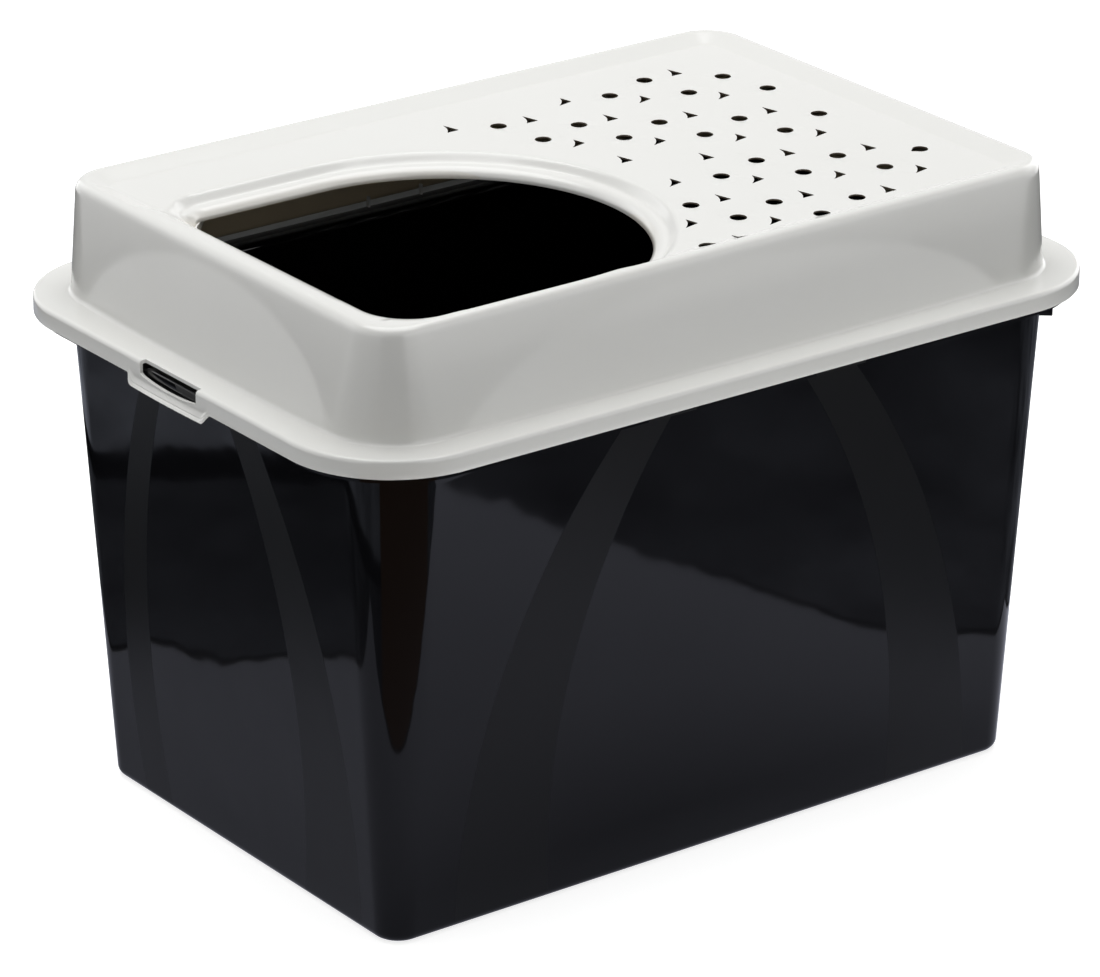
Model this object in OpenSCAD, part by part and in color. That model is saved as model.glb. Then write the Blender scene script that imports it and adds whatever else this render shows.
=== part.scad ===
// Top entry litter box: deep tapered tub and a hooded lid that hinges at one short end.
// Millimetres. Origin: middle of the tub's underside. +Z up, long axis along X.
// Front long side faces -Y, latch end faces -X, hinge end faces +X.

/* [Lid] */
// outside length of the lid's flange
lid_length = 572; // [560:1:590]
// outside width of the lid's flange
lid_width = 401; // [396:1:410]
// corner radius of the flange, seen from above
lid_corner_r = 71; // [66:1:76]
// height of the flange's upper surface over the floor
ledge_z = 327; // [326:0.5:328]
// how far the skirt hangs below the flange's upper surface
skirt_drop = 11.6; // [9:0.2:12]
// height of the rolled rim's crest over the floor
crest_z = 396.1; // [392:0.1:404]
// wall thickness of the lid
lid_wall = 2.5; // [2.2:0.1:3]

/* [Entry opening] */
// radius of the opening's round end
entry_r = 125.5; // [110:0.5:128]
// centre of the round end along X
entry_x = -112.7; // [-116:0.1:-105]
// centre of the round end along Y
entry_y = -35.1; // [-36:0.1:-30]
// distance from that centre to the straight end
entry_reach = 100.3; // [90:0.1:101]

/* [Vent holes] */
// diameter of the round vent holes
vent_d = 10.5; // [6:0.5:11]
// size of the triangular vent holes
vent_scale = 1; // [0.7:0.05:1.1]

/* [Tub] */
// outside length of the tub just over its base
base_length = 479; // [470:1:485]
// outside width of the tub just over its base
base_width = 313; // [305:1:320]
// outside length of the tub at its rim
rim_length = 515; // [512:1:516]
// outside width of the tub at its rim
rim_width = 359; // [356:1:360]
// height of the tub's rim over the floor
rim_z = 318; // [317:0.5:318]
// wall thickness of the tub
tub_wall = 2.6; // [2.2:0.1:3.2]

/* [Latch] */
// half width of the latch window
window_half = 30; // [24:1:34]
// half width of the tab where it leaves the skirt
tab_half = 44.7; // [40:0.1:50]
// height of the tab's lower edge over the floor
tab_z = 309.4; // [306:0.2:311]
// how far the tab's lip stands out from the skirt
tab_lip = 3.5; // [2:0.5:5]

/* [Hinge] */
// hinge axis along X
hinge_x = 265; // [264:0.5:266]
// hinge axis height
hinge_z = 305; // [304:0.5:306]
// hinge pin radius
pin_r = 3.2; // [2.5:0.1:3.4]

/* [Hidden] */
$fn = 64;
FACETS = 48;
THIN = 0.01;
CUT = 1;
GAP = 0.3;
RUNNING = 0.05;
skirt_z = ledge_z - skirt_drop;
under_ledge_z = ledge_z - lid_wall;
skirt_in_r = lid_corner_r - lid_wall;
// hood wall, foot and top
hood_foot = [524.1, 356.7];
hood_foot_r = 47;
hood_top = [505.9, 342.4];
hood_top_r = 29;
bead_r = 6.4;
bead_z = crest_z - bead_r;
crest_half = [hood_top[0] / 2 - bead_r, hood_top[1] / 2 - bead_r];
crest_r = hood_top_r - bead_r;
// the rim's inner slope runs down to the deck
slope_angle = 20;
slope_run = 15.6;
past_slope = 6;
deck_drop = 5.1;
deck_z = crest_z - deck_drop;
deck_t = 2.4;
// sunken ring round the opening
ring_drop = 5.5;
ring_w = 16;
ring_lip_drop = 12.5;
ring_lip_z = deck_z - ring_lip_drop;
ring_lip_top = 2.5;
bead_in = 4.2;
entry_back_r = 15;
entry_front_r = 35;
// vent pattern: two steps of a slanted grid, with a slight bow
vent_origin = [23.19, 95.41];
vent_step_i = [41.59, -28.25];
vent_step_j = [3.66, -93.41];
vent_offsets = [[0, 0], [21.8, -1.69], [8.18, -35.91], [19.69, -55.05]];
vent_bow = [2.2256e-4, 1.1358e-4, -0.07e-4];
bow_way = [1.43, 1.94];
round_a = [[0, 0], [1, 0], [2, 0], [3, 0], [4, 0], [3, -1], [4, -1],
           [2, 1], [3, 1], [0, 2], [1, 2], [2, 2], [-1, 3]];
triangle_a = [[0, 0], [1, 0], [2, 0], [3, 0], [3, -1], [0, 1], [1, 1],
              [2, 1], [3, 1], [0, 2], [1, 2], [2, 2], [-1, 3]];
round_b = [[0, 0], [1, 0], [2, 0], [3, 0], [2, -1], [3, -1], [4, -1],
           [1, 1], [2, 1], [3, 1], [0, 2], [1, 2]];
triangle_b = [[0, 0], [1, 0], [2, 0], [3, 0], [1, -1], [2, -1], [3, -1],
              [0, 1], [1, 1], [2, 1], [3, 1], [-1, 2], [0, 2]];
lone_vent = [-3.4, 111.1];
drop_vent = [208.9, -91.7];
drop_vent_d = [13.8, 10];
up_shape = [[0.8, 8.3], [-5, -5], [4.2, -5]];
side_shape = [[-6.2, -4.2], [5.5, -1.7], [3.3, 8.3]];
// tub
tub_base = [base_length, base_width];
base_r = 18;
tub_rim = [rim_length, rim_width];
rim_r = 40;
edge_r = 6.4;
edge_foot = 0.9 * edge_r;
edge_mid = 0.3 * edge_r;
floor_t = 3;
brim_t = 2.5;
brim = [561, 390];
brim_r = 65.5;
brim_edge_h = 7;
brim_edge_t = 2;
brim_cut = 3.5;
brim_end_x = hinge_x - brim_cut;
seat_z = rim_z + GAP;
// latch
window_depth = 4.2;
window_x = -lid_length / 2 + window_depth;
window_sill = 0.5;
window_side = 3.6;
window_low_z = skirt_z + window_sill;
window_side_z = skirt_z + window_side;
smile = window_side_z - window_low_z;
window_r = (window_half * window_half + smile * smile) / (2 * smile);
tab_low_half = 37;
tab_top_z = under_ledge_z - GAP;
tab_root = 1;
tab_root_z = skirt_z + tab_root;
tab_crease = 0.6;
notch_play = 0.1;
catch_half = 27;
catch_gap = 0.7;
catch_x = -lid_length / 2 + lid_wall + catch_gap;
catch_depth = 9;
catch_h = 4.4;
// hinge
ear_y = [140, 151];
ear_x = 270;
ear_low_z = 285;
ear_top_z = 312;
ear_slope = 3;
ear_root = 20;
ear_chamfer = [1, 2];
arm_y = [127, 139.5];
arm_w = 7.7;
arm_r = 5.5;
arm_back = 2.7;
arm_x = hinge_x - arm_back;

module rounded(size, r) {
    square([size[0] - 2 * r, size[1]], center = true);
    square([size[0], size[1] - 2 * r], center = true);
    for (sx = [-1, 1], sy = [-1, 1]) {
        translate([sx * (size[0] / 2 - r), sy * (size[1] / 2 - r)])
            circle(r = r);
    }
}

module level(size, r, z) {
    for (sx = [-1, 1], sy = [-1, 1]) {
        translate([sx * (size[0] / 2 - r), sy * (size[1] / 2 - r), z])
            cylinder(r = r, h = THIN, $fn = FACETS);
    }
}

module ring_plate(outer, outer_r, inner, inner_r, z, h) {
    translate([0, 0, z])
        linear_extrude(h)
            difference() {
                rounded(outer, outer_r);
                rounded(inner, inner_r);
            }
}

function inset(size, d) = [size[0] - 2 * d, size[1] - 2 * d];

// outline of the entry opening, grown by g
module entry(g) {
    left = entry_reach + g;
    half = entry_r + g;
    back_r = entry_back_r + g;
    front_r = entry_front_r + g;
    translate([entry_x, entry_y]) {
        intersection() {
            circle(r = half);
            translate([0, -half])
                square([half, 2 * half]);
        }
        translate([front_r - left, -half])
            square([left - front_r, 2 * half]);
        translate([-left, front_r - half])
            square([front_r, 2 * half - front_r - back_r]);
        translate([back_r - left, 0])
            square([left - back_r, half]);
        translate([back_r - left, half - back_r])
            circle(r = back_r);
        translate([front_r - left, front_r - half])
            circle(r = front_r);
    }
}

// everything inside the crest line, moved in by d
module inside_crest(d) {
    rounded(inset(2 * crest_half, d), crest_r - d);
}

module rim_profile() {
    far = 3 * bead_r;
    past = slope_angle + past_slope;
    intersection() {
        difference() {
            circle(r = bead_r);
            circle(r = bead_r - lid_wall);
        }
        polygon([[0, 0], [far, 0], [far, far], [-far * sin(past), far * cos(past)]]);
    }
    polygon([
        [-bead_r * sin(slope_angle), bead_r * cos(slope_angle)],
        [-slope_run, deck_z - bead_z],
        [-slope_run, deck_z - bead_z - deck_t],
        [-(bead_r - lid_wall) * sin(slope_angle), (bead_r - lid_wall) * cos(slope_angle)]
    ]);
}

module rim_side(half, length) {
    translate([half, length / 2, bead_z])
        rotate([90, 0, 0])
            linear_extrude(length)
                rim_profile();
}

module rim() {
    straight = inset(2 * crest_half, crest_r);
    for (a = [0, 180]) {
        rotate([0, 0, a])
            rim_side(crest_half[0], straight[1]);
        rotate([0, 0, a + 90])
            rim_side(crest_half[1], straight[0]);
    }
    for (k = [0, 1, 2, 3]) {
        sx = (k == 0 || k == 3) ? 1 : -1;
        sy = k < 2 ? 1 : -1;
        translate([sx * straight[0] / 2, sy * straight[1] / 2, bead_z])
            rotate([0, 0, 90 * k])
                rotate_extrude(angle = 90)
                    translate([crest_r, 0])
                        rim_profile();
    }
}

module tub_outside() {
    hull() {
        level(inset(tub_base, edge_foot), base_r - edge_foot, 0);
        level(inset(tub_base, edge_mid), base_r, edge_mid);
        level(tub_base, base_r, edge_r);
        level(tub_rim, rim_r, rim_z - THIN);
    }
}

module tub_inside() {
    low = inset(tub_base, tub_wall);
    hull() {
        level(inset(low, edge_r), base_r - tub_wall, floor_t);
        level(low, base_r - tub_wall, floor_t + edge_r);
        level(inset(tub_rim, tub_wall), rim_r - tub_wall, rim_z);
    }
}

module tub() {
    color("#15161a") {
        difference() {
            tub_outside();
            tub_inside();
        }
        difference() {
            union() {
                ring_plate(brim, brim_r, inset(tub_rim, tub_wall / 2), rim_r - tub_wall / 2,
                           rim_z - brim_t, brim_t);
                ring_plate(brim, brim_r, inset(brim, brim_edge_t), brim_r - brim_edge_t,
                           rim_z - brim_edge_h, brim_edge_h);
            }
            translate([brim_end_x, -brim[1], rim_z - 2 * brim_edge_h])
                cube([brim[0], 2 * brim[1], 4 * brim_edge_h]);
        }
    }
}

// raised nose on the brim, just behind the window of the tab
module latch_catch() {
    color("#101115")
        translate([catch_x, -catch_half, rim_z])
            cube([catch_depth, 2 * catch_half, catch_h]);
}

module hinge_ear() {
    difference() {
        translate([0, ear_y[1], 0])
            rotate([90, 0, 0])
                linear_extrude(ear_y[1] - ear_y[0])
                    polygon([
                        [rim_length / 2 - ear_root, ear_low_z + ear_slope],
                        [rim_length / 2, ear_low_z + ear_slope],
                        [ear_x, ear_low_z],
                        [ear_x + ear_chamfer[0], ear_top_z - ear_chamfer[1]],
                        [ear_x - ear_chamfer[0], ear_top_z],
                        [rim_length / 2 - ear_root, ear_top_z]
                    ]);
        tub_outside();
        translate([hinge_x, ear_y[1] + CUT, hinge_z])
            rotate([90, 0, 0])
                cylinder(r = pin_r + RUNNING, h = ear_y[1] - ear_y[0] + 2 * CUT);
    }
}

module hinge_ear_rear() {
    color("#15161a")
        hinge_ear();
}

module hinge_ear_front() {
    color("#15161a")
        mirror([0, 1, 0])
            hinge_ear();
}

// flat ledge, skirt and seat rib, with the notch behind the latch tab
module lid_flange() {
    outer = [lid_length, lid_width];
    foot_in = inset(hood_foot, lid_wall);
    color("#eeeeec")
        difference() {
            union() {
                ring_plate(outer, lid_corner_r, foot_in, hood_foot_r - lid_wall, under_ledge_z, lid_wall);
                ring_plate(outer, lid_corner_r, inset(outer, lid_wall), skirt_in_r, skirt_z, skirt_drop);
                ring_plate(hood_foot, hood_foot_r, foot_in, hood_foot_r - lid_wall, seat_z, ledge_z - seat_z);
            }
            translate([-lid_length / 2 - CUT, -window_half, skirt_z - CUT])
                cube([window_x + lid_length / 2 + CUT, 2 * window_half, skirt_drop + 2 * CUT]);
            translate([-lid_length / 2 - CUT, -tab_half, skirt_z - CUT])
                cube([lid_wall + notch_play + CUT, 2 * tab_half, skirt_drop + CUT - lid_wall]);
        }
}

module lid_walls() {
    color("#ececea")
        difference() {
            hull() {
                level(hood_foot, hood_foot_r, ledge_z);
                level(hood_top, hood_top_r, bead_z - THIN);
            }
            hull() {
                level(inset(hood_foot, lid_wall), hood_foot_r - lid_wall, ledge_z - THIN);
                level(inset(hood_top, lid_wall), hood_top_r - lid_wall, bead_z);
            }
        }
}

// rolled rim with its inner slope, cut back round the sunken ring
module lid_rim() {
    color("#f0f0ee") {
        difference() {
            rim();
            translate([0, 0, deck_z - 2 * ring_drop])
                linear_extrude(4 * ring_drop)
                    intersection() {
                        entry(ring_w);
                        inside_crest(bead_in);
                    }
        }
        translate([0, 0, ring_lip_z])
            linear_extrude(crest_z - ring_lip_top - ring_lip_z)
                difference() {
                    entry(lid_wall);
                    entry(0);
                    inside_crest(bead_in);
                }
    }
}

function vent_flat(i, j, s) = vent_origin + i * vent_step_i + j * vent_step_j + vent_offsets[s];
function vent_at(p) = p + bow_way * (vent_bow[0] * p[0] * p[0] + vent_bow[1] * p[1] * p[1]
                                     + vent_bow[2] * p[0] * p[1]);

module vents() {
    for (c = round_a) {
        translate(vent_at(vent_flat(c[0], c[1], 0)))
            circle(d = vent_d);
    }
    for (c = round_b) {
        translate(vent_at(vent_flat(c[0], c[1], 2)))
            circle(d = vent_d);
    }
    for (c = triangle_a) {
        translate(vent_at(vent_flat(c[0], c[1], 1)))
            polygon(vent_scale * up_shape);
    }
    for (c = triangle_b) {
        translate(vent_at(vent_flat(c[0], c[1], 3)))
            polygon(vent_scale * side_shape);
    }
    translate(lone_vent)
        polygon(vent_scale * up_shape);
    translate(drop_vent) {
        circle(d = drop_vent_d[1]);
        translate([-drop_vent_d[0] / 2, -drop_vent_d[1] / 4])
            square([drop_vent_d[0] / 2, drop_vent_d[1] / 2]);
    }
}

// pierced deck and the sunken ring round the opening
module lid_deck() {
    color("#f0f0ee") {
        translate([0, 0, deck_z - deck_t])
            linear_extrude(deck_t)
                difference() {
                    inside_crest(slope_run);
                    entry(ring_w);
                    vents();
                }
        translate([0, 0, deck_z - ring_drop - deck_t])
            linear_extrude(deck_t)
                intersection() {
                    difference() {
                        entry(ring_w);
                        entry(0);
                    }
                    inside_crest(bead_in);
                }
        translate([0, 0, deck_z - ring_drop - deck_t])
            linear_extrude(ring_drop + deck_t)
                intersection() {
                    difference() {
                        entry(ring_w);
                        entry(ring_w - deck_t);
                    }
                    inside_crest(bead_in);
                }
        translate([0, 0, ring_lip_z])
            linear_extrude(deck_z - ring_drop - ring_lip_z)
                intersection() {
                    difference() {
                        entry(deck_t);
                        entry(0);
                    }
                    inside_crest(bead_in);
                }
    }
}

module hinge_arm() {
    translate([0, arm_y[1], 0])
        rotate([90, 0, 0])
            linear_extrude(arm_y[1] - arm_y[0]) {
                translate([hinge_x, hinge_z])
                    circle(r = arm_r);
                translate([arm_x, hinge_z])
                    square([arm_w, under_ledge_z - hinge_z]);
            }
    translate([hinge_x, ear_y[1] - GAP, hinge_z])
        rotate([90, 0, 0])
            cylinder(r = pin_r, h = ear_y[1] - GAP - arm_y[0]);
}

module hinge_arm_rear() {
    color("#e8e8e6")
        hinge_arm();
}

module hinge_arm_front() {
    color("#e8e8e6")
        mirror([0, 1, 0])
            hinge_arm();
}

// springy tab of the skirt with the latch window and a flared finger lip
module latch_tab() {
    outer = -lid_length / 2;
    half = tab_half - GAP;
    color("#eaeae8")
        difference() {
            intersection() {
                translate([0, half, 0])
                    rotate([90, 0, 0])
                        linear_extrude(2 * half)
                            polygon([
                                [outer, tab_top_z],
                                [outer + lid_wall, tab_top_z],
                                [outer + lid_wall, tab_root_z],
                                [outer + lid_wall - tab_lip, tab_z],
                                [outer - tab_lip, tab_z],
                                [outer, tab_root_z + tab_crease]
                            ]);
                translate([outer - 3 * tab_lip, 0, 0])
                    rotate([90, 0, 90])
                        linear_extrude(6 * tab_lip)
                            polygon([
                                [-half, tab_top_z + CUT],
                                [-half, skirt_z],
                                [-tab_low_half, tab_z],
                                [tab_low_half, tab_z],
                                [half, skirt_z],
                                [half, tab_top_z + CUT]
                            ]);
            }
            intersection() {
                translate([outer - 3 * tab_lip, -window_half, window_low_z - CUT])
                    cube([6 * tab_lip, 2 * window_half, skirt_drop + 2 * CUT]);
                translate([outer - 3 * tab_lip, 0, window_low_z + window_r])
                    rotate([0, 90, 0])
                        cylinder(r = window_r, h = 6 * tab_lip);
            }
        }
}

tub();
latch_catch();
hinge_ear_front();
hinge_ear_rear();
lid_flange();
lid_walls();
lid_rim();
lid_deck();
hinge_arm_front();
hinge_arm_rear();
latch_tab();
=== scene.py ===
"""Looks of the top entry litter box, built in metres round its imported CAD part."""

import logging
import math
from dataclasses import dataclass, field
from enum import Enum
from typing import Callable

import bmesh
import bpy
import numpy as np
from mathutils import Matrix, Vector
from mathutils.geometry import delaunay_2d_cdt


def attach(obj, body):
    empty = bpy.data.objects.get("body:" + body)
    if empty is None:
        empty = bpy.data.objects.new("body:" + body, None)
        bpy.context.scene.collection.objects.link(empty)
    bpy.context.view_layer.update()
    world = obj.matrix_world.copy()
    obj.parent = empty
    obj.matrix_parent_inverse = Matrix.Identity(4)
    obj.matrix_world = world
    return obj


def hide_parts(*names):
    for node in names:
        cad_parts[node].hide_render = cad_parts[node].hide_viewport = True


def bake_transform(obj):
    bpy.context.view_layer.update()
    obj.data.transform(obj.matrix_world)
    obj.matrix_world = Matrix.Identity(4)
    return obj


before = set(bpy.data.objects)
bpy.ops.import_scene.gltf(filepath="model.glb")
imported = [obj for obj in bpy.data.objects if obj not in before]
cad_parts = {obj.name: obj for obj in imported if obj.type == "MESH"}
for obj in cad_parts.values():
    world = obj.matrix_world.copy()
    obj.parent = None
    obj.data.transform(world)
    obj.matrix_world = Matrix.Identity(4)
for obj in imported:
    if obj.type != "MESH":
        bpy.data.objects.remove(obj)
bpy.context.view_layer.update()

MM = 0.001
WINDOW_HALF = 30.0
TAB_HALF = 44.7
TOLERANCE = 1e-6
SHARP = 1.0
LOG = logging.getLogger("litter_box")

Points = np.ndarray
Socket = bpy.types.NodeSocket
FaceTest = Callable[[Vector, Vector], bool]
EdgeTest = Callable[[Vector, Vector, float], bool]


def smooth_step(t: Points) -> Points:
    """Ease from 0 to 1 while t runs from 0 to 1."""
    t = np.clip(t, 0.0, 1.0)
    return t * t * (3.0 - 2.0 * t)


def soft_max(a: Points, b: Points, width: float) -> Points:
    """Take the larger of two heights, with the valley between them filled.

    Args:
        a: first height.
        b: second height.
        width: how far from the crossing the filling reaches.

    Returns:
        The filled heights.
    """
    h = np.clip(0.5 + 0.5 * (a - b) / width, 0.0, 1.0)
    return b + (a - b) * h + width * h * (1.0 - h)


# Outlines


@dataclass(frozen=True)
class Outline:
    """A rounded rectangle at one height of a shell, in millimetres."""

    length: float
    width: float
    radius: float
    z: float

    def inset(self, by: float, z: float | None = None) -> "Outline":
        """Move the outline in by a distance, to another height if one is given."""
        height = self.z if z is None else z
        return Outline(self.length - 2 * by, self.width - 2 * by, self.radius - by, height)

    def towards(self, other: "Outline", t: float) -> "Outline":
        """Blend this outline with another one.

        Args:
            other: the outline at t = 1.
            t: share of the way to it.

        Returns:
            The outline between the two.
        """
        here = (self.length, self.width, self.radius, self.z)
        there = (other.length, other.width, other.radius, other.z)
        return Outline(*(a + (b - a) * t for a, b in zip(here, there)))

    def wall_at(self, top: "Outline", z: float) -> "Outline":
        """Give the outline at one height of a straight wall that runs from here to another outline."""
        return self.towards(top, (z - self.z) / (top.z - self.z))


@dataclass(frozen=True)
class Columns:
    """Where the columns of every shell stand, so that the levels join without a twist.

    The stations of a short side are set at the edges of the latch window and the latch tab,
    so that both can be cut out along columns. Distances are in millimetres.
    """

    window: float = WINDOW_HALF
    tab: float = TAB_HALF
    plain: float = 60.0
    window_steps: int = 12
    tab_steps: int = 7
    plain_steps: int = 6
    end_steps: int = 26
    side_steps: int = 78
    corner_steps: int = 26

    def end_stations(self, half: float) -> Points:
        """Stations on half of a short side, from its middle to the corner.

        Args:
            half: half the straight length of the side.

        Returns:
            Distances from the middle, the first one 0.
        """
        near = np.linspace(0, self.window, self.window_steps, endpoint=False)
        tab = np.linspace(self.window, self.tab, self.tab_steps, endpoint=False)
        plain = np.linspace(self.tab, self.plain, self.plain_steps, endpoint=False)
        rest = np.linspace(self.plain, half, self.end_steps + 1)
        return np.concatenate([near, tab, plain, rest])

    def ring(self, o: Outline) -> Points:
        """Set the columns out on one level, anticlockwise from the middle of the +X end.

        Args:
            o: the level's outline.

        Returns:
            One (x, y, z) row in millimetres for each column.
        """
        hx, hy = o.length / 2 - o.radius, o.width / 2 - o.radius
        end = self.end_stations(hy)
        side = np.linspace(-hx, hx, 2 * self.side_steps + 1)
        turn = np.linspace(0, math.pi / 2, self.corner_steps + 1)[1:-1]
        rows = [np.stack([np.full(len(end), o.length / 2), end], 1)]

        def corner(sx: float, sy: float, start: float) -> Points:
            """Set points out on one corner, from the angle at which it starts.

            Args:
                sx: side along X, 1 or -1.
                sy: side along Y, 1 or -1.
                start: angle of the corner's first end.

            Returns:
                Rows of (x, y).
            """
            a = start + turn
            return np.stack([sx * hx + o.radius * np.cos(a), sy * hy + o.radius * np.sin(a)], 1)

        rows.append(corner(1, 1, 0.0))
        rows.append(np.stack([side[::-1], np.full(len(side), o.width / 2)], 1))
        rows.append(corner(-1, 1, math.pi / 2))
        both = np.concatenate([end[::-1], -end[1:]])
        rows.append(np.stack([np.full(len(both), -o.length / 2), both], 1))
        rows.append(corner(-1, -1, math.pi))
        rows.append(np.stack([side, np.full(len(side), -o.width / 2)], 1))
        rows.append(corner(1, -1, 1.5 * math.pi))
        rows.append(np.stack([np.full(len(end) - 1, o.length / 2), -end[:0:-1]], 1))
        flat = np.concatenate(rows)
        return np.column_stack([flat, np.full(len(flat), o.z)])


COLUMNS = Columns()


def arc_points(middle: tuple[float, float], radius: float, start: float, end: float, count: int) -> Points:
    """Set points out on an arc, its far end left out.

    Args:
        middle: the arc's middle.
        radius: its radius.
        start: angle of its first point.
        end: angle of its far end.
        count: number of points.

    Returns:
        Rows of (x, y).
    """
    a = np.linspace(start, end, count, endpoint=False)
    return np.stack([middle[0] + radius * np.cos(a), middle[1] + radius * np.sin(a)], 1)


def line_points(start: tuple[float, float], end: tuple[float, float], count: int) -> Points:
    """Set points out on a straight line, its far end left out."""
    return np.stack([np.linspace(a, b, count, endpoint=False) for a, b in zip(start, end)], 1)


# Bench work shared by the pieces


class Bench:
    """The modelling steps that several pieces share."""

    BLANK_RADIUS = 0.2
    BLANK_STEP = 0.01
    SAME_PLACE = 1e-6

    @staticmethod
    def take(obj: bpy.types.Object) -> None:
        """Select one object alone and make it the active one.

        Args:
            obj: the object.
        """
        bpy.ops.object.select_all(action="DESELECT")
        obj.select_set(True)
        bpy.context.view_layer.objects.active = obj

    @classmethod
    def loft(cls, name: str, rings: list[Points]) -> bpy.types.Object:
        """Extrude a circle level by level and set every level on its outline.

        Args:
            name: the piece's name.
            rings: one (n, 3) array of millimetres for each level.

        Returns:
            The open shell, one vertex thick.
        """
        n = len(rings[0])
        bpy.ops.object.select_all(action="DESELECT")
        bpy.ops.mesh.primitive_circle_add(
            vertices=n, radius=cls.BLANK_RADIUS, fill_type="NOTHING", location=(0, 0, 0))
        obj = bpy.context.active_object
        obj.name = obj.data.name = name
        bpy.ops.object.mode_set(mode="EDIT")
        bpy.ops.mesh.select_all(action="SELECT")
        for _ in rings[1:]:
            bpy.ops.mesh.extrude_edges_move(TRANSFORM_OT_translate={"value": (0, 0, cls.BLANK_STEP)})
        bpy.ops.object.mode_set(mode="OBJECT")
        co = cls.read(obj)
        level = np.round(co[:, 2] / cls.BLANK_STEP).astype(int)
        column = np.round(np.arctan2(co[:, 1], co[:, 0]) / (2 * math.pi) * n).astype(int) % n
        cls.write(obj, np.stack(rings)[level, column] * MM)
        return obj

    @staticmethod
    def read(obj: bpy.types.Object) -> Points:
        """Read the places of an object's vertices.

        Args:
            obj: the object.

        Returns:
            An (n, 3) array in metres.
        """
        co = np.empty(len(obj.data.vertices) * 3)
        obj.data.vertices.foreach_get("co", co)
        return co.reshape(-1, 3)

    @staticmethod
    def write(obj: bpy.types.Object, co: Points) -> None:
        """Put the object's vertices at the rows of an (n, 3) array."""
        obj.data.vertices.foreach_set("co", co.ravel())
        obj.data.update()

    @classmethod
    def pick_faces(cls, obj: bpy.types.Object, test: FaceTest) -> None:
        """Enter edit mode with the faces selected whose middle and normal pass a test.

        Args:
            obj: the piece.
            test: called with a face's middle and normal, in millimetres.
        """
        cls.take(obj)
        bpy.ops.object.mode_set(mode="EDIT")
        bpy.ops.mesh.select_mode(type="FACE")
        bpy.ops.mesh.select_all(action="DESELECT")
        bm = bmesh.from_edit_mesh(obj.data)
        for face in bm.faces:
            if test(face.calc_center_median() / MM, face.normal):
                face.select_set(True)
        bmesh.update_edit_mesh(obj.data)

    @classmethod
    def pick_edges(cls, obj: bpy.types.Object, test: EdgeTest) -> None:
        """Enter edit mode with the edges selected whose ends and fold pass a test.

        Args:
            obj: the piece.
            test: called with an edge's two ends in millimetres and its fold in radians, -1 for a border.
        """
        cls.take(obj)
        bpy.ops.object.mode_set(mode="EDIT")
        bpy.ops.mesh.select_mode(type="EDGE")
        bpy.ops.mesh.select_all(action="DESELECT")
        bm = bmesh.from_edit_mesh(obj.data)
        for edge in bm.edges:
            fold = edge.calc_face_angle(-1.0)
            if test(edge.verts[0].co / MM, edge.verts[1].co / MM, fold):
                edge.select_set(True)
        bmesh.update_edit_mesh(obj.data)

    @classmethod
    def cut_faces(cls, obj: bpy.types.Object, test: FaceTest) -> None:
        """Delete the faces that pass a test.

        Args:
            obj: the piece.
            test: see pick_faces.
        """
        cls.pick_faces(obj, test)
        bpy.ops.mesh.delete(type="FACE")
        bpy.ops.object.mode_set(mode="OBJECT")

    @classmethod
    def orient(cls, obj: bpy.types.Object, probe: Callable[[Vector], bool], towards: Vector) -> None:
        """Merge doubles and turn all faces the same way, so that the probed ones face a direction.

        Args:
            obj: an open shell.
            probe: True for the middles, in millimetres, of faces whose direction is known.
            towards: that direction.
        """
        cls.take(obj)
        bpy.ops.object.mode_set(mode="EDIT")
        bpy.ops.mesh.select_all(action="SELECT")
        bpy.ops.mesh.remove_doubles(threshold=cls.SAME_PLACE)
        bpy.ops.mesh.normals_make_consistent(inside=False)
        bm = bmesh.from_edit_mesh(obj.data)
        bm.normal_update()
        known = [f for f in bm.faces if probe(f.calc_center_median() / MM)]
        lean = sum(f.normal.dot(towards) * f.calc_area() for f in known)
        if lean < 0:
            bpy.ops.mesh.flip_normals()
        bpy.ops.object.mode_set(mode="OBJECT")

    @classmethod
    def thicken(cls, obj: bpy.types.Object, wall: float) -> None:
        """Give a shell its wall, on the side away from its faces.

        Args:
            obj: the shell.
            wall: the wall's thickness in millimetres.
        """
        cls.take(obj)
        mod = obj.modifiers.new("wall", "SOLIDIFY")
        mod.thickness = wall * MM
        mod.offset = -1.0
        mod.use_even_offset = True
        mod.use_quality_normals = True
        bpy.ops.object.modifier_apply(modifier=mod.name)

    @classmethod
    def bevel(cls, obj: bpy.types.Object, test: EdgeTest, width: float, steps: int = 2) -> None:
        """Round the edges that pass a test.

        Args:
            obj: the piece.
            test: see pick_edges.
            width: the bevel's width in millimetres.
            steps: its number of segments.
        """
        cls.pick_edges(obj, test)
        bpy.ops.mesh.bevel(offset=width * MM, segments=steps, affect="EDGES", clamp_overlap=True)
        bpy.ops.object.mode_set(mode="OBJECT")

    @classmethod
    def smooth(cls, obj: bpy.types.Object, degrees: float = 32.0) -> None:
        """Shade smooth, apart from edges that fold by more than an angle."""
        cls.take(obj)
        bpy.ops.object.shade_smooth_by_angle(angle=math.radians(degrees))

    @classmethod
    def fit(cls, obj: bpy.types.Object, finish: bpy.types.Material, body: str, slot: str,
            *nodes: str) -> None:
        """Give a piece its finish, its body and the CAD nodes that it stands for.

        Args:
            obj: the piece.
            finish: its material.
            body: the CAD body that it rides on.
            slot: not used.
            *nodes: the CAD nodes that it replaces.
        """
        obj.data.materials.clear()
        obj.data.materials.append(finish)
        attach(obj, body)
        if nodes:
            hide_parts(*nodes)
        LOG.info("%s: %d faces on %s", obj.name, len(obj.data.polygons), body)


# Finishes


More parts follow.
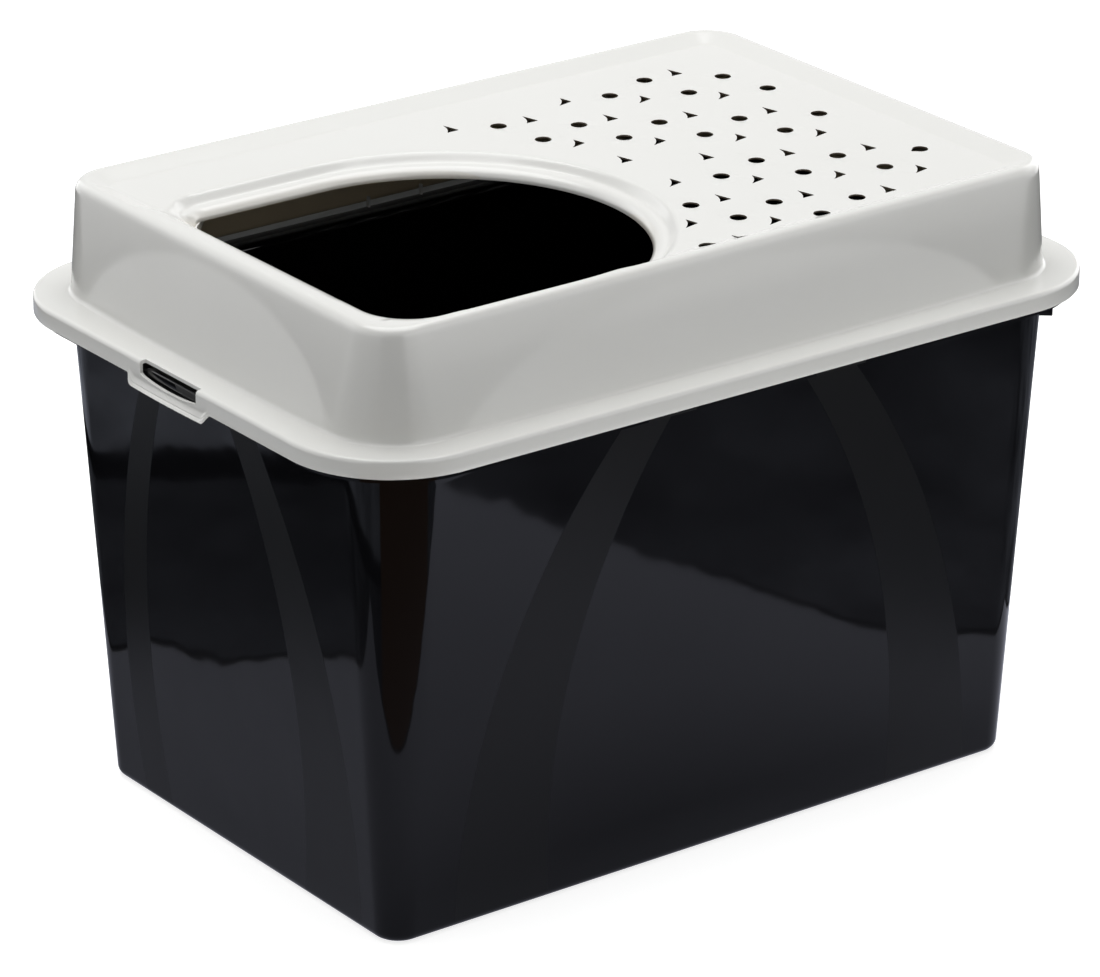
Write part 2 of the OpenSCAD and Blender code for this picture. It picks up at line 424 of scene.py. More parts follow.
class Net:
    """Short hand for building a material's nodes."""

    def __init__(self, name: str) -> None:
        """Start an empty material with an output.

        Args:
            name: the material's name.
        """
        self.material = bpy.data.materials.new(name)
        self.material.use_nodes = True
        self.tree = self.material.node_tree
        self.tree.nodes.clear()
        self.out = self.add("ShaderNodeOutputMaterial")

    @classmethod
    def of_world(cls, world: bpy.types.World) -> "Net":
        """Start on a world's nodes instead of a material's.

        Args:
            world: the world.

        Returns:
            The emptied net, with an output.
        """
        net = cls.__new__(cls)
        net.tree = world.node_tree
        net.tree.nodes.clear()
        net.out = net.add("ShaderNodeOutputWorld")
        return net

    def add(self, kind: str, **settings: object) -> bpy.types.Node:
        """Add a node and set its properties.

        Args:
            kind: the node's type.
            **settings: its properties by name.

        Returns:
            The node.
        """
        node = self.tree.nodes.new(kind)
        for key, value in settings.items():
            setattr(node, key, value)
        return node

    def link(self, source: Socket, target: Socket) -> None:
        """Join two sockets."""
        self.tree.links.new(source, target)

    def split(self, vector: Socket) -> tuple[Socket, ...]:
        """Take a vector apart.

        Args:
            vector: the vector.

        Returns:
            Its X, Y and Z.
        """
        node = self.add("ShaderNodeSeparateXYZ")
        self.link(vector, node.inputs[0])
        return tuple(node.outputs)

    def mix(self, share: Socket, first: object, second: object) -> Socket:
        """Mix two colours.

        Args:
            share: how much of the second one shows, from 0 to 1.
            first: a colour's output, or its red, green and blue.
            second: a colour's output, or its red, green and blue.

        Returns:
            The mixed colour.
        """
        node = self.add("ShaderNodeMixRGB")
        self.link(share, node.inputs[0])
        for socket, colour in zip(node.inputs[1:], (first, second)):
            if isinstance(colour, Socket):
                self.link(colour, socket)
            else:
                socket.default_value = (*colour, 1)
        return node.outputs[0]

    def from_middle(self, x: Socket, y: Socket) -> Socket:
        """Give the distance of a place on the floor from the middle.

        Args:
            x: its place along X.
            y: its place along Y.

        Returns:
            The distance.
        """
        squares = self.math("ADD", self.math("MULTIPLY", x, x), self.math("MULTIPLY", y, y))
        return self.math("SQRT", squares)

    def math(self, operation: str, a: object, b: object = 0.0, clamp: bool = False) -> Socket:
        """Add a Math node.

        Args:
            operation: the node's operation.
            a: first input, a socket or a number.
            b: second input, a socket or a number.
            clamp: whether the result stays in 0 to 1.

        Returns:
            The node's output.
        """
        node = self.add("ShaderNodeMath", operation=operation, use_clamp=clamp)
        for socket, value in zip(node.inputs, (a, b)):
            if isinstance(value, Socket):
                self.link(value, socket)
            else:
                socket.default_value = value
        return node.outputs[0]

    def noise(self, scale: float, detail: float, where: Socket) -> Socket:
        """Add a Noise texture.

        Args:
            scale: the texture's scale.
            detail: its number of finer layers.
            where: the coordinates that it reads.

        Returns:
            Its value.
        """
        node = self.add("ShaderNodeTexNoise")
        node.inputs["Scale"].default_value = scale
        node.inputs["Detail"].default_value = detail
        self.link(where, node.inputs["Vector"])
        return node.outputs["Fac"]

    def ramp(self, value: Socket, low: float, high: float) -> Socket:
        """Spread a 0 to 1 value over another range.

        Args:
            value: the value.
            low: what 0 becomes.
            high: what 1 becomes.

        Returns:
            The spread value.
        """
        node = self.add("ShaderNodeMapRange")
        node.inputs["To Min"].default_value = low
        node.inputs["To Max"].default_value = high
        self.link(value, node.inputs["Value"])
        return node.outputs["Result"]

    def bump(self, height: Socket, depth: float) -> Socket:
        """Add a Bump node.

        Args:
            height: the pattern, from 0 to 1.
            depth: its real depth in metres.

        Returns:
            The bumped normal.
        """
        node = self.add("ShaderNodeBump")
        node.inputs["Distance"].default_value = depth
        self.link(height, node.inputs["Height"])
        return node.outputs["Normal"]


@dataclass(frozen=True)
class ShellPlastic:
    """Glossy off-white injection moulded plastic, slightly uneven as it comes from the mould.

    Two zones get painted light in their colour, found by place and facing in metres: a painted warm glow
    on the hood's inner walls, for the warm light that the plastic lets through, and painted shade on the
    walls of the vent holes.
    """

    name: str = "shell_plastic"
    tint: tuple[float, float, float] = (0.80, 0.80, 0.778)
    shade: tuple[float, float, float] = (0.775, 0.773, 0.745)
    # Painted warm glow for the hood's inner walls.
    inner: tuple[float, float, float] = (0.80, 0.68, 0.48)
    # Painted shade for the walls of the vent holes, where hardly any light gets.
    bore: tuple[float, float, float] = (0.16, 0.13, 0.10)
    roughness: float = 0.17
    uneven: float = 0.03
    ior: float = 1.46
    tone_scale: float = 9.0
    flow_scale: float = 28.0
    grain_scale: float = 1400.0
    grain_depth: float = 0.000009
    inner_facing: float = -0.02
    inner_box: tuple[float, float] = (0.2735, 0.1875)
    inner_foot: float = 0.3176
    inner_fade: float = 0.385
    fade_rate: float = 40.0
    deck_box: tuple[float, float] = (0.236, 0.153)
    deck_foot: float = 0.3893
    bore_facing: float = 0.5

    def within(self, net: Net, x: Socket, y: Socket, box: tuple[float, float]) -> Socket:
        """Give 1 inside a box round the middle.

        Args:
            net: the material's nodes.
            x: place along X.
            y: place along Y.
            box: how far the box reaches along X and Y.

        Returns:
            A value of 0 or 1.
        """
        along, across = (net.math("LESS_THAN", net.math("ABSOLUTE", value), reach)
                         for value, reach in zip((x, y), box))
        return net.math("MULTIPLY", along, across)

    def inside(self, net: Net, place: tuple[Socket, ...], facing: tuple[Socket, ...]) -> Socket:
        """Give 1 where the painted warm glow goes: on the hood's inner walls, fading out towards the deck.

        Args:
            net: the material's nodes.
            place: the surface's X, Y and Z.
            facing: its normal's X, Y and Z.

        Returns:
            A value from 0 to 1.
        """
        x, y, z = place
        away = net.math("ADD", net.math("MULTIPLY", x, facing[0]), net.math("MULTIPLY", y, facing[1]))
        inward = net.math("LESS_THAN", away, self.inner_facing)
        walls = net.math("MULTIPLY", inward, self.within(net, x, y, self.inner_box))
        fade = net.math("MULTIPLY", net.math("SUBTRACT", self.inner_fade, z), self.fade_rate, clamp=True)
        above = net.math("GREATER_THAN", z, self.inner_foot)
        return net.math("MULTIPLY", net.math("MULTIPLY", walls, fade), above)

    def painted_shade_in_holes(self, net: Net, place: tuple[Socket, ...], facing: tuple[Socket, ...]) -> Socket:
        """Give 1 where the painted shade goes: on the walls of the vent holes, where hardly any light gets.

        Args:
            net: the material's nodes.
            place: the surface's X, Y and Z.
            facing: its normal's X, Y and Z.

        Returns:
            A value of 0 or 1.
        """
        x, y, z = place
        steep = net.math("LESS_THAN", net.math("ABSOLUTE", facing[2]), self.bore_facing)
        walls = net.math("MULTIPLY", steep, self.within(net, x, y, self.deck_box))
        return net.math("MULTIPLY", walls, net.math("GREATER_THAN", z, self.deck_foot))

    def make(self) -> bpy.types.Material:
        """Build the material.

        Returns:
            The material.
        """
        net = Net(self.name)
        coord = net.add("ShaderNodeTexCoord")
        where = coord.outputs["Object"]
        place, facing = net.split(where), net.split(coord.outputs["Normal"])
        shader = net.add("ShaderNodeBsdfPrincipled")
        tone = net.mix(net.noise(self.tone_scale, 3.0, where), self.shade, self.tint)
        # Painted warm glow on the hood's inner walls.
        with_painted_glow = net.mix(self.inside(net, place, facing), tone, self.inner)
        # Painted shade on the walls of the vent holes.
        with_painted_shade = net.mix(self.painted_shade_in_holes(net, place, facing), with_painted_glow, self.bore)
        net.link(with_painted_shade, shader.inputs["Base Color"])
        flow = net.noise(self.flow_scale, 2.0, where)
        rough = net.ramp(flow, self.roughness - self.uneven, self.roughness + self.uneven)
        net.link(rough, shader.inputs["Roughness"])
        grain = net.bump(net.noise(self.grain_scale, 2.0, where), self.grain_depth)
        net.link(grain, shader.inputs["Normal"])
        shader.inputs["IOR"].default_value = self.ior
        net.link(shader.outputs[0], net.out.inputs["Surface"])
        return net.material


@dataclass(frozen=True)
class Arc:
    """One edge of a satin band: a circle on a wall of the tub, in millimetres.

    The band lies inside the circle or outside it.
    """

    across: float
    up: float
    radius: float
    inside: bool

    def mask(self, net: Net, u: Socket, z: Socket, soft: float) -> Socket:
        """Give 1 on the band's side of this edge.

        Args:
            net: the material's nodes.
            u: place along the wall, in metres.
            z: height, in metres.
            soft: width of the edge, in metres.

        Returns:
            A value from 0 to 1.
        """
        du = net.math("SUBTRACT", u, self.across * MM)
        dz = net.math("SUBTRACT", z, self.up * MM)
        far = net.math("SQRT", net.math("ADD", net.math("MULTIPLY", du, du), net.math("MULTIPLY", dz, dz)))
        near, away = (far, self.radius * MM) if self.inside else (self.radius * MM, far)
        past = net.math("SUBTRACT", away, near)
        return net.math("ADD", net.math("DIVIDE", past, soft), 0.5, clamp=True)


@dataclass(frozen=True)
class TubPlastic:
    """Black moulded plastic, polished, with satin bands that sweep up the walls, their deeper black painted
    shade for the satin's weaker reflection.

    A band shows only on walls that face outwards along Y (the long ones) or along X (the ends),
    by more than a least product of place and normal.
    """

    name: str = "tub_plastic"
    tint: tuple[float, float, float] = (0.0045, 0.0045, 0.0055)
    shade: tuple[float, float, float] = (0.0030, 0.0030, 0.0037)
    # Painted shade of the satin bands, for their weaker reflection.
    painted_band_shade: tuple[float, float, float] = (0.0003, 0.0003, 0.0004)
    polish: float = 0.05
    satin: float = 0.35
    uneven: float = 0.03
    ior: float = 1.30
    tone_scale: float = 7.0
    flow_scale: float = 22.0
    swell_scale: float = 26.0
    grain_scale: float = 2600.0
    grain: float = 0.12
    swell_depth: float = 0.00025
    edge: float = 0.0011
    long_facing: float = 0.145
    end_facing: float = 0.22
    long_bands: tuple[tuple[Arc, Arc], ...] = (
        (Arc(283.5, 2.4, 477.0, True), Arc(318.8, 53.7, 444.9, False)),
        (Arc(-347.1, 25.6, 485.4, False), Arc(-341.6, -28.7, 544.4, True)),
    )
    end_bands: tuple[tuple[Arc, Arc], ...] = (
        (Arc(-361.9, 95.3, 481.1, True), Arc(-385.3, 108.1, 476.7, False)),
        (Arc(371.7, 83.0, 444.0, False), Arc(367.8, 25.2, 494.1, True)),
    )

    def bands(self, net: Net, where: Socket, normal: Socket) -> Socket:
        """Give 1 on the satin bands and 0 on the polished wall.

        Args:
            net: the material's nodes.
            where: object coordinates.
            normal: the surface's normal in object space.

        Returns:
            A value from 0 to 1.
        """
        x, y, z = net.split(where)
        facing = net.split(normal)
        across, along = net.math("MULTIPLY", x, facing[0]), net.math("MULTIPLY", y, facing[1])
        walls = ((x, along, self.long_facing, self.long_bands), (y, across, self.end_facing, self.end_bands))
        total = None
        for u, outward, least, pairs in walls:
            wall = net.math("GREATER_THAN", outward, least)
            for left, right in pairs:
                both = net.math("MULTIPLY", left.mask(net, u, z, self.edge), right.mask(net, u, z, self.edge))
                band = net.math("MULTIPLY", both, wall)
                total = band if total is None else net.math("MAXIMUM", total, band)
        return total

    def make(self) -> bpy.types.Material:
        """Build the material.

        Returns:
            The material.
        """
        net = Net(self.name)
        coord = net.add("ShaderNodeTexCoord")
        where = coord.outputs["Object"]
        shader = net.add("ShaderNodeBsdfPrincipled")
        band = self.bands(net, where, coord.outputs["Normal"])
        tone = net.mix(net.noise(self.tone_scale, 3.0, where), self.shade, self.tint)
        # Painted shade: the satin bands get a deeper black, for their weaker reflection.
        net.link(net.mix(band, tone, self.painted_band_shade), shader.inputs["Base Color"])
        flow = net.ramp(net.noise(self.flow_scale, 2.0, where), 0.0, self.uneven)
        rough = net.math("ADD", net.ramp(band, self.polish, self.satin), flow)
        net.link(rough, shader.inputs["Roughness"])
        fine = net.noise(self.grain_scale, 1.0, where)
        grain = net.math("MULTIPLY", fine, net.ramp(band, 0.0, self.grain))
        swell = net.math("ADD", net.noise(self.swell_scale, 1.0, where), grain)
        net.link(net.bump(swell, self.swell_depth), shader.inputs["Normal"])
        shader.inputs["IOR"].default_value = self.ior
        net.link(shader.outputs[0], net.out.inputs["Surface"])
        return net.material


# Lid


@dataclass(frozen=True)
class Entry:
    """The entry opening, round at one end and with two rounded corners at the other, in millimetres.

    The opening's wall ends at the lip's height. Every point of its upper edge lies above the lowest
    height. Its steps are the numbers of points on its stretches, anticlockwise from the round end.
    """

    x: float = -112.7
    y: float = -35.1
    radius: float = 125.5
    reach: float = 100.3
    back_r: float = 15.0
    front_r: float = 35.0
    lip_z: float = 378.5
    lowest: float = 370.0
    steps: tuple[int, ...] = (196, 42, 14, 98, 26, 32)

    @property
    def left(self) -> float:
        """Place of the straight end along X."""
        return self.x - self.reach

    @property
    def sides(self) -> tuple[float, float]:
        """Places of the back and front sides along Y."""
        return self.y + self.radius, self.y - self.radius

    def loop(self, grow: float) -> Points:
        """Set points out on the opening's edge, moved out by a distance.

        Args:
            grow: distance outside the edge.

        Returns:
            Rows of (x, y), anticlockwise.
        """
        left, (back, front) = self.left, self.sides
        back_x, back_y = left + self.back_r, back - self.back_r
        front_x, front_y = left + self.front_r, front + self.front_r
        quarter = math.pi / 2
        end, behind, back_corner, straight, front_corner, ahead = self.steps
        return np.concatenate([
            arc_points((self.x, self.y), self.radius + grow, -quarter, quarter, end),
            line_points((self.x, back + grow), (back_x, back + grow), behind),
            arc_points((back_x, back_y), self.back_r + grow, quarter, math.pi, back_corner),
            line_points((left - grow, back_y), (left - grow, front_y), straight),
            arc_points((front_x, front_y), self.front_r + grow, math.pi, 3 * quarter, front_corner),
            line_points((front_x, front - grow), (self.x, front - grow), ahead)])

    def outside(self, x: Points, y: Points) -> Points:
        """Measure the distance outside the opening's edge.

        Args:
            x: places along X.
            y: places along Y.

        Returns:
            Distances in millimetres, negative within the opening.
        """
        left, (back, front) = self.left, self.sides
        flat = np.maximum(np.maximum(y - back, front - y), left - x)
        bx, by = left + self.back_r, back - self.back_r
        fx, fy = left + self.front_r, front + self.front_r
        flat = np.where((x < bx) & (y > by), np.hypot(x - bx, y - by) - self.back_r, flat)
        flat = np.where((x < fx) & (y < fy), np.hypot(x - fx, y - fy) - self.front_r, flat)
        return np.where(x > self.x, np.hypot(x - self.x, y - self.y) - self.radius, flat)


@dataclass(frozen=True)
class Ring:
    """The sunken ring round the opening, with its rolled inner edge, in millimetres.

    Its outer wall rises at 45 degrees, with a blend at its foot and one at its brink. The whole
    ring fades out within the fade distance of the crest.
    """

    depth: float = 5.5
    width: float = 10.0
    ease: float = 0.8
    foot_blend: float = 1.3
    brink_blend: float = 1.6
    end: float = 18.0
    roll: float = 9.0
    fall: float = 6.2
    fade: float = 9.0

    def drop(self, e: Points, g: Points) -> Points:
        """Give how far the ring lies below the deck.

        Args:
            e: distances inside the crest line.
            g: distances outside the opening's edge.

        Returns:
            Depths in millimetres.
        """
        wall = (g - self.width) - (self.depth - self.ease)
        step = soft_max(np.full_like(g, -self.depth), wall, self.foot_blend)
        sunk = np.where(g > self.end, 0.0, soft_max(-step, np.zeros_like(g), self.brink_blend))
        edge = self.fall * (1 - np.sqrt(np.clip(1 - (1 - g / self.roll) ** 2, 0, None)))
        return (sunk + np.where(g < self.roll, edge, 0.0)) * smooth_step(e / self.fade)


@dataclass(frozen=True)
class Brow:
    """The slope from the rim down to the opening's straight end and front corner, in millimetres.

    At the height of its level, the slope's outline runs along its left and its front, with a
    rounded corner between. Above and below, the outline moves by the lean for each millimetre of
    height. A dome leads from the crest to the slope, and is flatter at the corner.
    """

    left: float = -227.3
    front: float = -150.1
    radius: float = 34.0
    level: float = 389.9
    lean: tuple[float, float] = (1.491, 2.15)
    search: float = 40.0
    halvings: int = 26
    curve: float = 0.0166
    corner_curve: float = 0.0146
    blend: float = 0.8
    corner_blend: float = 2.2
    corner_from: float = -92.0
    corner_ease: float = 30.0
    end_x: tuple[float, float] = (-165.0, 20.0)
    end_y: tuple[float, float] = (112.0, 30.0)
    end_gap: tuple[float, float] = (40.0, 5.0)

    def height(self, x: Points, y: Points) -> Points:
        """Find the slope's height by halving.

        Args:
            x: places along X.
            y: places along Y.

        Returns:
            Heights in millimetres.
        """
        low, high = np.full_like(x, self.level - self.search), np.full_like(x, self.level + self.search)
        for _ in range(self.halvings):
            z = (low + high) / 2
            px = self.left + self.radius - (x + self.lean[0] * (z - self.level))
            py = self.front + self.radius - (y + self.lean[1] * (z - self.level))
            away = np.hypot(np.maximum(px, 0), np.maximum(py, 0)) + np.minimum(np.maximum(px, py), 0)
            past = away > self.radius
            low, high = np.where(past, z, low), np.where(past, high, z)
        return low

    def dome(self, y: Points, e: Points, crest: float, slope: Points) -> Points:
        """Give the height of the dome between the crest and the slope.

        Args:
            y: places along Y.
            e: distances inside the crest line.
            crest: height of the crest.
            slope: heights of the slope.

        Returns:
            Heights in millimetres.
        """
        corner = smooth_step((self.corner_from - y) / self.corner_ease)
        fall = e * e * (self.curve - self.corner_curve * corner) - crest
        return -soft_max(fall, -slope, self.blend + self.corner_blend * corner)

    def share(self, x: Points, y: Points, gap: Points) -> Points:
        """Give 1 where the slope and the dome hold, and 0 where the plain rim does.

        Args:
            x: places along X.
            y: places along Y.
            gap: widths of the strip between the crest line and the opening's edge.

        Returns:
            Values from 0 to 1.
        """
        bounds = zip((x, y, gap), (self.end_x, self.end_y, self.end_gap))
        by_x, by_y, by_gap = (smooth_step((end - value) / ease) for value, (end, ease) in bounds)
        return by_x * by_y * by_gap


class VentShape(Enum):
    """The kinds of vent hole."""

    ROUND = "round"
    UP = "up"
    SIDE = "side"
    DROP = "drop"


@dataclass(frozen=True)
class Vents:
    """The slanted, slightly bowed grid of round and three-cornered vent holes, in millimetres.

    Each cell of the grid has four places, at the offsets: two for round holes and two for
    three-cornered ones. One lone three-cornered hole and one drop-shaped hole stand apart.
    """

    diameter: float = 10.5
    origin: tuple[float, float] = (23.19, 95.41)
    step_i: tuple[float, float] = (41.59, -28.25)
    step_j: tuple[float, float] = (3.66, -93.41)
    offsets: tuple[tuple[float, float], ...] = ((0, 0), (21.8, -1.69), (8.18, -35.91), (19.69, -55.05))
    bow: tuple[float, float, float] = (2.2256e-4, 1.1358e-4, -0.07e-4)
    bow_way: tuple[float, float] = (1.43, 1.94)
    round_a: tuple[tuple[int, int], ...] = (
        (0, 0), (1, 0), (2, 0), (3, 0), (4, 0), (3, -1), (4, -1),
        (2, 1), (3, 1), (0, 2), (1, 2), (2, 2), (-1, 3))
    triangle_a: tuple[tuple[int, int], ...] = (
        (0, 0), (1, 0), (2, 0), (3, 0), (3, -1), (0, 1), (1, 1),
        (2, 1), (3, 1), (0, 2), (1, 2), (2, 2), (-1, 3))
    round_b: tuple[tuple[int, int], ...] = (
        (0, 0), (1, 0), (2, 0), (3, 0), (2, -1), (3, -1), (4, -1),
        (1, 1), (2, 1), (3, 1), (0, 2), (1, 2))
    triangle_b: tuple[tuple[int, int], ...] = (
        (0, 0), (1, 0), (2, 0), (3, 0), (1, -1), (2, -1), (3, -1),
        (0, 1), (1, 1), (2, 1), (3, 1), (-1, 2), (0, 2))
    lone: tuple[float, float] = (-3.4, 111.1)
    drop: tuple[float, float] = (208.9, -91.7)
    up_shape: tuple[tuple[float, float], ...] = ((0.8, 8.3), (-5.0, -5.0), (4.2, -5.0))
    side_shape: tuple[tuple[float, float], ...] = ((-6.2, -4.2), (5.5, -1.7), (3.3, 8.3))
    drop_nose: float = 5.0
    drop_turn: float = math.pi / 2 + 0.5
    drop_tail: tuple[tuple[float, float], ...] = ((-5.6, 1.5), (-6.9, 0.6), (-6.9, -0.6), (-5.6, -1.5))
    round_steps: int = 24
    drop_steps: int = 18
    side_shares: tuple[float, ...] = (0.06, 0.2, 0.35, 0.5, 0.65, 0.8, 0.94)
    hollow: float = 1.5

    def at(self, i: int, j: int, kind: int) -> Points:
        """Middle of one hole.

        Args:
            i: steps along the first way.
            j: steps along the second way.
            kind: which of the four sets the hole belongs to.

        Returns:
            The hole's (x, y).
        """
        p = np.array(self.origin) + i * np.array(self.step_i) + j * np.array(self.step_j)
        p = p + np.array(self.offsets[kind])
        bend = self.bow[0] * p[0] ** 2 + self.bow[1] * p[1] ** 2 + self.bow[2] * p[0] * p[1]
        return p + np.array(self.bow_way) * bend

    def outline(self, shape: VentShape) -> Points:
        """Edge of one hole round its own middle.

        Args:
            shape: which kind of hole.

        Returns:
            Rows of (x, y), anticlockwise.
        """
        r = self.diameter / 2
        if shape is VentShape.ROUND:
            return arc_points((0.0, 0.0), r, 0, 2 * math.pi, self.round_steps)
        if shape is VentShape.DROP:
            a = np.linspace(-self.drop_turn, self.drop_turn, self.drop_steps)
            nose = np.stack([self.drop_nose * np.cos(a), self.drop_nose * np.sin(a)], 1)
            return np.concatenate([nose, self.drop_tail])
        points, bowed = (self.up_shape, 0) if shape is VentShape.UP else (self.side_shape, 2)
        return self.three_cornered(np.array(points), bowed)

    def three_cornered(self, points: Points, bowed: int) -> Points:
        """Round the corners of a triangle and hollow one of its sides.

        Args:
            points: the three corners.
            bowed: index of the corner at which the hollowed side starts.

        Returns:
            Rows of (x, y), anticlockwise.
        """
        if np.cross(points[1] - points[0], points[2] - points[1]) < 0:
            points, bowed = points[[0, 2, 1]], 2 - bowed
        inner = points.mean(0)
        rows = []
        for k in range(3):
            a, b = points[k], points[(k + 1) % 3]
            for t in self.side_shares:
                p = a + (b - a) * t
                if k == bowed:
                    way = inner - (a + b) / 2
                    p = p + way / np.linalg.norm(way) * self.hollow * 4 * t * (1 - t)
                rows.append(p)
        return np.array(rows)

    def round_middles(self) -> Points:
        """Give the middles of the round holes, as rows of (x, y)."""
        sets = ((self.round_a, 0), (self.round_b, 2))
        return np.array([self.at(i, j, kind) for cells, kind in sets for i, j in cells])

    def holes(self) -> list[Points]:
        """Set out the edge of every hole, in place.

        Returns:
            One array of (x, y) rows for each hole.
        """
        sets = ((self.round_a, 0, VentShape.ROUND), (self.triangle_a, 1, VentShape.UP),
                (self.round_b, 2, VentShape.ROUND), (self.triangle_b, 3, VentShape.SIDE))
        out = [self.outline(shape) + self.at(i, j, kind) for cells, kind, shape in sets for i, j in cells]
        out.append(self.outline(VentShape.UP) + np.array(self.lone))
        out.append(self.outline(VentShape.DROP) + np.array(self.drop))
        return out


@dataclass(frozen=True)
class Arch:
    """A panel on a hood wall, under a shallow arch, that leans out a little more than the wall."""

    half: float
    centre_z: float
    rise: float
    lean: float = 0.051
    soft: float = 0.7

    def stand_out(self, u: Points, z: Points) -> Points:
        """How far the panel stands out from the wall.

        Args:
            u: place along the wall.
            z: height.

        Returns:
            Distances in millimetres, 0 outside the arch.
        """
        top = self.centre_z + self.rise * np.sqrt(np.clip(1 - (u / self.half) ** 2, 0, None))
        below = np.where(np.abs(u) < self.half, top - z, 0.0)
        return self.lean * np.where(below > 0, below * below / (below + self.soft), 0.0)


@dataclass(frozen=True)
class Latch:
    """The springy tab in the lid's skirt, with its smile-shaped window and flared lip, in millimetres.

    The flare and the groove are measured up from the lip's lower edge. The upper and lower steps
    share out the tab's height above and below the window's sill. What the flange leaves out for
    the window and the tab lies beyond window_x, and the edges that it keeps sharp there, beyond
    seam_x.
    """

    half: float = TAB_HALF
    window: float = WINDOW_HALF
    window_x: float = -281.8
    seam_x: float = -280.0
    sill_z: float = 319.0
    smile: float = 3.1
    smile_power: float = 1.2
    lip_z: float = 309.5
    lip_sag: float = 0.5
    lip_half: float = 37.0
    ends_from: float = 36.0
    flare: float = 3.2
    flare_high: float = 5.6
    flare_power: float = 1.7
    flare_ease: float = 7.0
    groove: float = 0.35
    groove_up: float = 1.5
    groove_width: float = 0.28
    groove_ease: float = 5.0
    wall: float = 2.0
    sharp: float = 0.9
    edge_bevel: float = 0.35
    window_steps: int = 25
    side_steps: int = 17
    upper: tuple[float, ...] = (0.0, 0.5, 1.0)
    lower: tuple[float, ...] = (
        0.12, 0.24, 0.36, 0.46, 0.55, 0.62, 0.68, 0.73, 0.77, 0.80, 0.83, 0.86, 0.90, 0.94, 0.97, 1.0)

    def columns(self) -> Points:
        """Set out the tab's columns.

        Returns:
            Their places along Y.
        """
        inner = np.linspace(0, self.window, self.window_steps)[:-1]
        side = np.concatenate([inner, np.linspace(self.window, self.half, self.side_steps)])
        return np.concatenate([-side[:0:-1], side])

    def sill(self, away: Points) -> Points:
        """Height of the window's lower edge, at a distance from the tab's middle."""
        bow = np.sqrt(np.clip(1 - (away / self.window) ** 2, 0, None)) ** self.smile_power
        return self.sill_z - self.smile * bow

    def skin(self, y: Points, step: Points, top_z: float, foot_z: float, plane: float) -> Points:
        """Shape the tab's outer face.

        Args:
            y: place of each vertex along Y.
            step: its row, counted from the top.
            top_z: height of the tab's top.
            foot_z: height of the skirt's lower edge.
            plane: place of the skirt's outer face along X.

        Returns:
            One (x, y, z) row in millimetres for each vertex.
        """
        away = np.abs(y)
        sill = self.sill(away)
        base = self.lip_z + self.lip_sag * (away / self.lip_half) ** 2
        foot = base + (foot_z - base) * smooth_step((away - self.ends_from) / (self.half - self.ends_from))
        share = np.concatenate([self.upper, self.lower])[step]
        above, below = top_z + (sill - top_z) * share, sill + (foot - sill) * share
        z = np.where(step < len(self.upper), above, below)
        up, inward = z - foot, self.half - away
        flare = self.flare * np.clip(1 - up / self.flare_high, 0, 1) ** self.flare_power
        groove = self.groove * np.exp(-((up - self.groove_up) / self.groove_width) ** 2)
        x = plane - flare * smooth_step(inward / self.flare_ease)
        return np.column_stack([x + groove * smooth_step(inward / self.groove_ease), y, z])


@dataclass(frozen=True)
class DeckMesh:
    """Where the points of the deck's mesh stand, in millimetres.

    Rows of points follow the crest line and the opening's edge, at the distances given, and a grid
    fills what is left.
    """

    from_crest: tuple[float, ...] = (
        0.8, 1.5, 2.2, 3.2, 4.4, 5.8, 7.4, 9.0, 10.6, 12.2, 13.4, 14.4, 15.4, 16.6, 18.4)
    from_entry: tuple[float, ...] = (
        0.15, 0.45, 0.9, 1.5, 2.2, 3.1, 4.2, 5.4, 6.8, 8.1,
        9.0, 9.9, 10.8, 11.8, 12.8, 13.6, 14.4, 15.2, 16.2, 18.0)
    entry_zone: float = 18.6
    least_gap: float = 0.25
    least_crest: float = 0.5
    grid: float = 11.0
    grid_half: tuple[float, float] = (230.0, 150.0)
    grid_from_crest: float = 22.0
    grid_from_entry: float = 21.0
    grid_from_hole: float = 9.5
    hole_zone: float = 12.0
    same_point: float = 1e-5


